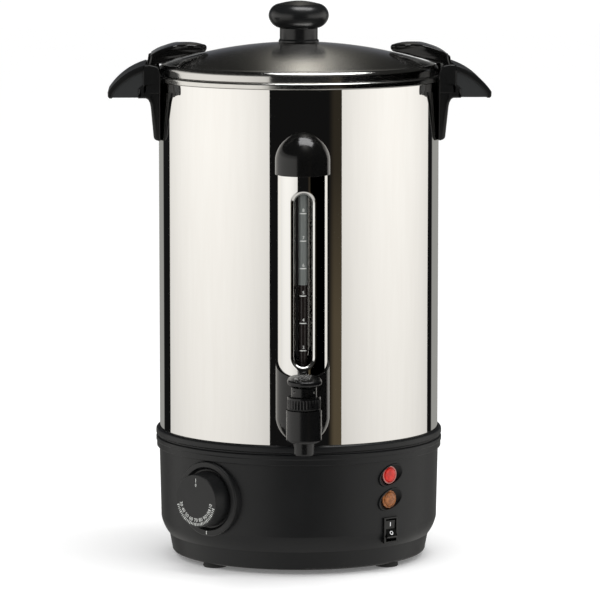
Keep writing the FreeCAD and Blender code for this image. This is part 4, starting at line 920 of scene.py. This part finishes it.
def turned_at(profile, out, steps=48):
    """A profile of (radius, height) turned about an upright axis that stands in front of the shell."""
    points, faces = turned(profile, steps)
    points = points.copy()
    points[:, 1] -= out
    return points, faces


piece("gauge_glass_tube", [turned_at(rounded([
    (tube_radius - TUBE_WALL, tube_low[2]), (tube_radius, tube_low[2], 0.3), (tube_radius, tube_high[2], 0.3),
    (tube_radius - TUBE_WALL, tube_high[2])]), tube_out)], "urn", "gauge_glass", glass, ["gauge_tube"])

# The scale is printed white on the tube's front: a stroke and a numeral for each litre.
printed_white = finish("printed_white", (0.62, 0.63, 0.60), 0.6,
                       lambda place: {"Roughness": 0.55 + 0.1 * place.noise(800.0)})
FIRST_MARK = 189.2
MARK_PITCH = 22.24
MARKS = 6
FIRST_LITRE = 3
STROKE_TURN = 42
STROKE_TALL = 0.8
NUMERAL_TALL = 2.6
NUMERAL_SIDE = 0.3
INK = 0.05
CAP_HEIGHT = 0.7


def stroke(height, half_turn, tall, proud=0.06):
    """A short printed arc on the front of the tube: a strip of the circle, given the ink's thickness."""
    turn = np.radians(np.linspace(-half_turn, half_turn, 9))
    radius = tube_radius + proud
    rows = []
    for up in (height - tall / 2, height + tall / 2):
        level = np.full_like(turn, up)
        rows.append(np.stack([radius * np.sin(turn), -tube_out - radius * np.cos(turn), level], axis=1))
    rows += [rows[1] + [0, INK, 0], rows[0] + [0, INK, 0]]
    points = np.stack(rows)
    index = np.arange(points.shape[0] * points.shape[1]).reshape(points.shape[:2])
    up = np.roll(index, -1, axis=0)
    faces = np.stack([index[:, :-1], index[:, 1:], up[:, 1:], up[:, :-1]], axis=-1).reshape(-1, 4).tolist()
    return points.reshape(-1, 3), faces + [index[:, 0].tolist(), index[::-1, -1].tolist()]


def numeral(text, tall, thick=INK):
    """A numeral's mesh as (points with x across, y up and z its thickness in millimetres, faces)."""
    curve = bpy.data.curves.new("numeral", "FONT")
    curve.body = text
    curve.size = tall * MM / CAP_HEIGHT
    curve.extrude = thick * MM / 2
    curve.align_x = "CENTER"
    curve.align_y = "CENTER"
    curve.resolution_u = 3
    holder = bpy.data.objects.new("numeral", curve)
    mesh = bpy.data.meshes.new_from_object(holder)
    points = np.empty(len(mesh.vertices) * 3, dtype=np.float32)
    mesh.vertices.foreach_get("co", points)
    faces = [list(face.vertices) for face in mesh.polygons]
    bpy.data.meshes.remove(mesh)
    bpy.data.objects.remove(holder)
    bpy.data.curves.remove(curve)
    return points.reshape(-1, 3).astype(float) / MM, faces


scale_parts = []
for mark in range(MARKS):
    height = FIRST_MARK + MARK_PITCH * mark
    scale_parts.append(stroke(height, STROKE_TURN, STROKE_TALL))
    points, faces = numeral(str(mark + FIRST_LITRE), NUMERAL_TALL)
    scale_parts.append((np.stack([points[:, 0] + NUMERAL_SIDE,
                                  -tube_out - tube_radius - INK - points[:, 2],
                                  points[:, 1] + height + NUMERAL_TALL], axis=1), faces))
piece("gauge_scale", scale_parts, "urn", "silicone", printed_white)


def silicone_feeds(place):
    """Cloudy silicone rubber."""
    return {"Roughness": 0.45 + 0.15 * place.noise(200.0), "Normal": place.noise(900.0).bump(0.05, 0.0002)}


silicone = finish("cloudy_silicone", (0.72, 0.70, 0.66), 0.5, silicone_feeds)
wear(silicone, "gauge_seals", "tap_seat_cup", "shank_seal")
wear(gloss_black, "gauge_cap", "gauge_lower_housing")


def inner_feeds(place):
    """Natural heat-proof moulding: pale, slightly translucent-looking, with flow lines."""
    flow = place.noise(70.0, 4.0)
    return {"Base Color": flow.mix((0.62, 0.57, 0.48), (0.74, 0.70, 0.61)), "Roughness": 0.45 + 0.1 * flow,
            "Normal": place.noise(1200.0).bump(0.06, 0.0002)}


natural_plastic = finish("natural_plastic", (0.70, 0.66, 0.58), 0.5, inner_feeds)
dark_bracket = finish("dark_bracket", (0.02, 0.02, 0.02), 0.5, satin_feeds)
wear(dark_bracket, "gauge_bracket")
wear(natural_plastic, "thermostat_body", "lamp_bodies", "thermal_cutout", "terminal_block")

# ---------------------------------------------------------------- tap
# The tap is black acetal: a barrel on a threaded shank, a short nozzle, a fluted bonnet screwed on top
# and a lever whose fork lifts the valve's stem.
tap_low, tap_high = box_mm("tap_nozzle")
tap_out = -(tap_low[1] + tap_high[1]) / 2
bonnet_low, bonnet_high = box_mm("tap_bonnet")
bonnet_radius = bonnet_high[0]
NECK_RADIUS = 10.3
BONNET_RING = 10.8
FLUTES = 30
FLUTE_DEPTH = 0.75
STEM_HOLE = 2.3
NECK_WALL = 1.1
BONNET_FLOOR = 3.8


def fluted(low, top, radius, steps=240):
    """The bonnet: a ring whose radius dips in FLUTES shallow grooves, between two plain bands."""
    around = np.linspace(0, 2 * np.pi, steps, endpoint=False)
    ring = low + BONNET_RING
    profile = rounded([(STEM_HOLE, low), (radius - 0.5, low, 0.4), (radius - 0.2, low + 1.2, 0.2),
                       (radius, low + 1.5), (radius, low + 2.1), (radius, ring - 2.5),
                       (radius, ring - 1.9), (radius - 0.2, ring - 1.6),
                       (radius - 0.1, ring, 0.8), (NECK_RADIUS, ring, 0.5), (NECK_RADIUS, top, 0.5),
                       (NECK_RADIUS - NECK_WALL, top, 0.3), (NECK_RADIUS - NECK_WALL, low + BONNET_FLOOR),
                       (STEM_HOLE, low + BONNET_FLOOR)])
    r, z = profile[:, :1], profile[:, 1:]
    band = (step(z, low + 1.6, 0.5) * (1 - step(z, ring - 2.0, 0.5))) * (r > NECK_RADIUS + 1.5)
    dip = FLUTE_DEPTH * band * (0.5 + 0.5 * np.cos(FLUTES * around)) ** 2
    r = r - dip
    points = np.stack([r * np.cos(around), r * np.sin(around) - tap_out, z + 0 * around], axis=-1)
    return points.reshape(-1, 3), wrapped(len(profile), steps)


def acetal_feeds(place):
    """Semi-gloss acetal: slick, with faint moulding flow and scuffs."""
    flow = place.noise(80.0, 4.0)
    return {"Roughness": 0.20 + 0.10 * flow,
            "Base Color": flow.mix((0.0025, 0.0026, 0.0028), (0.0050, 0.0052, 0.0055)),
            "Normal": place.noise(700.0, 2.0).bump(0.03, 0.0002)}


acetal = finish("black_acetal", (0.004, 0.0042, 0.0045), 0.25, acetal_feeds)
wear(acetal, "tap_body", "tap_nozzle")
piece("tap_bonnet_fluted", [fluted(bonnet_low[2], bonnet_high[2], bonnet_radius)], "urn", "tap_black",
      acetal, ["tap_bonnet"])

lever_low, lever_high = box_mm("tap_lever")
lever_tip = -lever_low[1]
lever_back = -lever_high[1]
lever_half = lever_high[0]
PADDLE = 4.0
PADDLE_SINK = 0.4
HUB_AHEAD = 6.4
TIP_ROUND = 10
FORK_SIDES = (-3.2, 3.2)
hub_out = tap_out + HUB_AHEAD


def flat_slab(outline, low, top, edge):
    """An outline of (out, side) given a height, with rounded rims."""
    points, faces = slab(outline, (top - low) / 2, edge)
    points = points[:, [0, 2, 1]].copy()
    points[:, 2] += (low + top) / 2
    return points, faces


back_right, back_left = (lever_back + 6, -9.5), (lever_back + 6, 9.5)
tip_right, tip_left = (lever_tip - TIP_ROUND, -lever_half + 0.4), (lever_tip - TIP_ROUND, lever_half - 0.4)
paddle_outline = np.concatenate([
    arc(back_right, tip_right, -1.6, 8)[:-1], arc(tip_right, tip_left, -9.6, 20)[:-1],
    arc(tip_left, back_left, -1.6, 8)[:-1], arc(back_left, back_right, -5.6, 10)[:-1]])
paddle_top = lever_high[2] - PADDLE_SINK
paddle_points, paddle_faces = flat_slab(paddle_outline, paddle_top - PADDLE, paddle_top, 1.6)
past_stem = np.maximum(paddle_points[:, 0] - tap_out, 0) / (lever_tip - tap_out)
paddle_points[:, 2] += 0.35 - 1.3 * past_stem ** 2
heel = slab(rounded([(tap_out - 3.6, lever_low[2]), (hub_out + 2.2, lever_low[2], 1.0),
                     (hub_out + 2.2, lever_high[2] - 3.0), (hub_out - 2.0, lever_high[2] - 3.0),
                     (hub_out - 2.0, lever_low[2] + 2.5, 0.6), (tap_out - 3.6, lever_low[2] + 2.5)]),
            1.0, 0.3)
lever_parts = [(paddle_points, paddle_faces), *(moved(heel, side) for side in FORK_SIDES)]
piece("tap_lever_paddle", [stand(part, FRONT) for part in lever_parts], "tap_lever", "tap_black", acetal,
      ["tap_lever"])

# ---------------------------------------------------------------- dial
# The thermostat's knob is a satin moulding in a raised ring. Its face carries a white scale of
# temperatures with fine strokes; the ring has one index mark below it.
dial_joint = next(joint for joint in frame["joints"] if joint["name"] == "dial_turn")
dial_angle = math.atan2(dial_joint["axis"][1], dial_joint["axis"][0])
dial_up = dial_joint["pos_m"][2] / MM
WALL_DRAFT = 0.75
dial_wall = base_radius - WALL_DRAFT
DIAL_RADIUS = 21.6
DIAL_PROUD = 17.0
BEZEL_RADIUS = 31.0
BEZEL_INSIDE = 25.0
BEZEL_PROUD = 3.6


def turned_out(profile, up, steps=96):
    """A closed profile of (out, radius) carried round an axis that points outward at a height."""
    around = np.linspace(0, 2 * np.pi, steps, endpoint=False)
    out, radius = profile[:, :1], profile[:, 1:]
    points = np.stack([out + 0 * around, radius * np.cos(around), up + radius * np.sin(around)], axis=-1)
    return points.reshape(-1, 3), wrapped(len(profile), steps)


dial_satin = finish("dial_satin", (0.008, 0.0085, 0.009), 0.42,
                    lambda place: {"Roughness": 0.40 + 0.10 * place.noise(60.0),
                                   "Base Color": place.noise(45.0).mix((0.0055, 0.0060, 0.0065),
                                                                       (0.0095, 0.0100, 0.0105)),
                                   "Normal": place.noise(2600.0).bump(0.10, 0.0002)})
front = dial_wall + BEZEL_PROUD
bezel = rounded([(dial_wall - 5.0, BEZEL_RADIUS), (front - 0.2, BEZEL_RADIUS, 1.6),
                 (front, BEZEL_INSIDE + 1.2, 0.9), (dial_wall + 0.8, BEZEL_INSIDE - 0.6, 0.8),
                 (dial_wall + 0.6, 3.6), (dial_wall - 3.0, 3.6), (dial_wall - 5.0, BEZEL_INSIDE)])
mark_foot, mark_head = dial_up - BEZEL_RADIUS + 1.6, dial_up - BEZEL_INSIDE - 1.6
mark_back, mark_front = front - 0.4, front + 0.12
index_mark = slab(rounded([(mark_back, mark_foot), (mark_front, mark_foot),
                           (mark_front, mark_head), (mark_back, mark_head)]), 0.4, 0.05)
piece("dial_ring", [stand(turned_out(bezel, dial_up), dial_angle)], "urn", "dial_black", dial_satin,
      ["dial_bezel"])
piece("dial_index", [stand(index_mark, dial_angle)], "urn", "dial_black", printed_white)

face = dial_wall + DIAL_PROUD
dial_body = rounded([(dial_wall + 1.2, 3.1), (dial_wall + 1.2, DIAL_RADIUS + 1.4, 0.4),
                     (dial_wall + 3.0, DIAL_RADIUS + 1.2, 0.6), (face - 0.12, DIAL_RADIUS, 0.7),
                     (face - 0.12, 0.0), (face - 3.0, 0.0), (face - 3.0, 3.1)])
piece("dial_knob_moulding", [stand(turned_out(dial_body, dial_up), dial_angle)], "dial", "dial_black",
      dial_satin, ["dial_knob"])


def on_face(points, clock, radius, flat):
    """Lay a drawing (x across, y towards the dial's centre) on the face at a clock angle and radius."""
    a = math.radians(clock)
    across, inward = points[:, 0], points[:, 1]
    reach = radius - inward
    side = reach * math.sin(a) - across * math.cos(a)
    up = reach * math.cos(a) + across * math.sin(a)
    return np.stack([flat + points[:, 2], side, dial_up + up], axis=1)


def bar(wide, tall, thick=0.08):
    """A flat bar, centred: the eight corners at half its sizes."""
    x, y, z = wide / 2, tall / 2, thick / 2
    points = np.array([(sx * x, sy * y, sz * z) for sz in (-1, 1) for sy in (-1, 1) for sx in (-1, 1)])
    return points, [[0, 2, 3, 1], [4, 5, 7, 6], [0, 1, 5, 4], [2, 6, 7, 3], [0, 4, 6, 2], [1, 3, 7, 5]]


scale_parts = []
FIRST_CLOCK, LAST_CLOCK = 256.0, 104.0
SCALE_DEGREES = range(30, 111, 10)
LAST_PLACE = len(SCALE_DEGREES) - 1
TICKS_EACH = 4
LONG_TICK = (0.7, 2.6)
SHORT_TICK = (0.5, 2.2)
POINTER = (0.5, 3.2)
TICK_RING = DIAL_RADIUS - 2.3
NUMBER_RING = DIAL_RADIUS - 5.6
NUMBER_TALL = 2.9
ZERO_TALL = 2.4
FACE_INK = 0.08
printed_at = face - FACE_INK
for place, degrees in enumerate(SCALE_DEGREES):
    clock = FIRST_CLOCK + (LAST_CLOCK - FIRST_CLOCK) * place / LAST_PLACE
    points, faces = numeral(str(degrees), NUMBER_TALL)
    scale_parts.append((on_face(points, clock, NUMBER_RING, printed_at), faces))
    for fraction in range(TICKS_EACH if place < LAST_PLACE else 1):
        tick = FIRST_CLOCK + (LAST_CLOCK - FIRST_CLOCK) * (place + fraction / TICKS_EACH) / LAST_PLACE
        points, faces = bar(*(SHORT_TICK if fraction else LONG_TICK))
        scale_parts.append((on_face(points, tick, TICK_RING, printed_at), faces))
points, faces = bar(*POINTER)
scale_parts.append((on_face(points, 0.0, DIAL_RADIUS - 4.6, printed_at), faces))
points, faces = numeral("0", ZERO_TALL)
scale_parts.append((on_face(points * [-1, -1, 1], 0.0, DIAL_RADIUS - 8.6, printed_at), faces))
piece("dial_scale", [stand(part, dial_angle) for part in scale_parts], "dial", "dial_black", printed_white)

# ---------------------------------------------------------------- lamps
# Two jewel lenses, red for heating and amber for keeping warm, sit in eye-shaped dishes in the base.


def jewel(middle, radius, up):
    """A domed lens with a bevelled rim and a flat facet ring: an outline of (out, radius), turned."""
    return turned_out(rounded([(middle - 6.0, 0.0), (middle - 6.0, radius), (middle - 1.0, radius, 0.3),
                               (middle - 0.4, radius - 1.2, 0.2), (middle + 0.3, radius - 1.5, 0.4),
                               (middle + 1.15, radius * 0.45, 1.5), (middle + 1.35, 0.0)]), up, 48)


def lens_feeds(bright, dark, power):
    """A lit lens: brightest in the middle patches, where the lamp behind shows through the ribs."""
    def feeds(place):
        ribs = place.noise(420.0, 2.0)
        return {"Base Color": ribs.mix(dark, bright), "Roughness": 0.12 + 0.1 * ribs,
                "Emission Color": ribs.ramp(0.35, 0.7).mix(tuple(c * power * 0.45 for c in dark),
                                                           tuple(c * power for c in bright)),
                "Normal": ribs.bump(0.25, 0.0006)}
    return feeds


LENS_COAT = 0.15
lens_red = finish("lens_red", (0.75, 0.05, 0.03), 0.15,
                  lens_feeds((0.60, 0.022, 0.014), (0.22, 0.006, 0.005), 0.20),
                  Emission_Strength=1.0, Coat_Weight=LENS_COAT)
lens_amber = finish("lens_amber", (0.7, 0.3, 0.06), 0.15,
                    lens_feeds((0.40, 0.14, 0.035), (0.05, 0.012, 0.005), 0.16),
                    Emission_Strength=1.0, Coat_Weight=LENS_COAT)
lens_rim = finish("lens_rim", (0.45, 0.17, 0.15), 0.25,
                  lambda place: {"Roughness": 0.15 + 0.1 * place.noise(300.0)}, Coat_Weight=0.5)
WALL_TOP = 94.5
WALL_LEAN = 0.0228
WALL_INSET = 0.35
for colour, lens_finish in (("red", lens_red), ("amber", lens_amber)):
    low, top = box_mm(f"lamp_{colour}")
    middle = (low + top) / 2
    lamp_angle = math.atan2(middle[1], middle[0])
    lamp_up = middle[2]
    lamp_radius = (top[2] - low[2]) / 2
    wall = base_radius - WALL_INSET - (WALL_TOP - lamp_up) * WALL_LEAN
    piece(f"lamp_{colour}_jewel", [stand(jewel(wall - 0.1, lamp_radius, lamp_up), lamp_angle)], "urn",
          f"lens_{colour}", lens_finish, [f"lamp_{colour}"])
    ring = turned_out(rounded([(wall - 1.6, lamp_radius - 1.0), (wall - 0.9, lamp_radius - 1.0, 0.2),
                               (wall - 0.7, lamp_radius + 0.35, 0.2), (wall - 1.6, lamp_radius + 0.35)]),
                      lamp_up, 48)
    piece(f"lamp_{colour}_rim", [stand(ring, lamp_angle)], "urn", f"lens_{colour}",
          lens_rim if colour == "red" else lens_amber)

# ---------------------------------------------------------------- rocker switch
# A standard black rocker snapped into the base; a stroke marks on and a ring marks off.
rocker_black = finish("rocker_black", (0.012, 0.012, 0.013), 0.22, gloss_feeds)
wear(rocker_black, "rocker_frame", "rocker")
rocker_joint = next(joint for joint in frame["joints"] if joint["name"] == "rocker_tip")
pivot = np.array(rocker_joint["pos_m"]) / MM
pivot_out = math.hypot(pivot[0], pivot[1])
rocker_angle = math.atan2(pivot[1], pivot[0])
REST_TILT = math.radians(12.0)
HEART_OUT = 4.6
END_OUT = 9.1
END_SWING = 46
MARK_ALONG = 0.55


def on_rocker(points, swing, away):
    """Lay a drawing (x across, y up) on the upper or lower half of the rocker's hollow face."""
    heart = HEART_OUT * np.array([math.cos(REST_TILT), math.sin(REST_TILT)])
    end_turn = REST_TILT + math.radians(swing)
    end = END_OUT * np.array([math.cos(end_turn), math.sin(end_turn)])
    along = (end - heart) / np.linalg.norm(end - heart)
    outward = np.array([along[1], -along[0]]) * (1 if swing > 0 else -1)
    along = along * (1 if swing > 0 else -1)
    centre = heart + (end - heart) * away
    flat = centre + points[:, 1:2] * along + (points[:, 2:] + 0.05) * outward
    return np.stack([pivot_out + flat[:, 0], points[:, 0], pivot[2] + flat[:, 1]], axis=1)


points, faces = bar(0.8, 3.4, 0.1)
stroke_mark = (on_rocker(points, END_SWING, MARK_ALONG), faces)
around = np.linspace(0, 2 * np.pi, 32, endpoint=False)
ring_profile = np.array([(1.05, -0.05), (1.65, -0.05), (1.65, 0.05), (1.05, 0.05)])
ring_points = np.stack([ring_profile[:, :1] * np.cos(around), ring_profile[:, :1] * np.sin(around),
                        ring_profile[:, 1:] + 0 * around], axis=-1).reshape(-1, 3)
ring_mark = (on_rocker(ring_points, -END_SWING, MARK_ALONG), wrapped(4, 32))
rocker_white = finish("rocker_white", (0.8, 0.8, 0.8), 0.5,
                      lambda place: {"Roughness": 0.45 + 0.1 * place.noise(900.0)})
piece("rocker_marks", [stand(stroke_mark, rocker_angle), stand(ring_mark, rocker_angle)], "rocker",
      "rocker_black", rocker_white)

# ---------------------------------------------------------------- heater and mains inlet
# Under the tank are a cast plate with its element, a keep-warm ring and the wiring's terminals; the
# appliance inlet with three flat pins is screwed to the back.


def cast_feeds(place):
    """Cast aluminium: dull, grained and a little oxidised."""
    cast = place.noise(160.0, 5.0)
    return {"Roughness": 0.4 + 0.2 * cast, "Base Color": cast.mix((0.66, 0.66, 0.65), (0.82, 0.82, 0.81)),
            "Normal": cast.bump(0.15, 0.0006)}


def heat_feeds(place):
    """A sheath that has been hot: straw and brown bands over grey steel."""
    band = place.noise(26.0, 3.0)
    return {"Base Color": band.mix((0.24, 0.21, 0.18), (0.50, 0.46, 0.40)), "Roughness": 0.35 + 0.2 * band,
            "Normal": place.noise(900.0).bump(0.06, 0.0002)}


wear(finish("cast_aluminium", (0.78, 0.78, 0.77), 0.5, cast_feeds, metal=1.0), "heating_plate")
wear(finish("heated_sheath", (0.42, 0.40, 0.37), 0.4, heat_feeds, metal=1.0), "heating_element",
     "keep_warm_element")
wear(finish("inlet_plastic", (0.012, 0.012, 0.012), 0.5, satin_feeds), "inlet_socket")
wear(finish("plated_pin", (0.78, 0.66, 0.36), 0.25,
            lambda place: {"Roughness": 0.2 + 0.15 * place.noise(300.0)}, metal=1.0), "inlet_pins")

# The right panel lights the shell, the handles and the base, but not the lid, the tank's rim, the
# gauge's cover and housings or the tap.
for thing in ("lid_dome", "tank_skin", "gauge_half_round", "gauge_cap", "gauge_lower_housing", "tap_body",
              "tap_bonnet_fluted", "tap_lever_paddle"):
    unlit_from_right.objects.link(bpy.data.objects[thing])
for member in unlit_from_right.collection_objects:
    member.light_linking.link_state = "EXCLUDE"
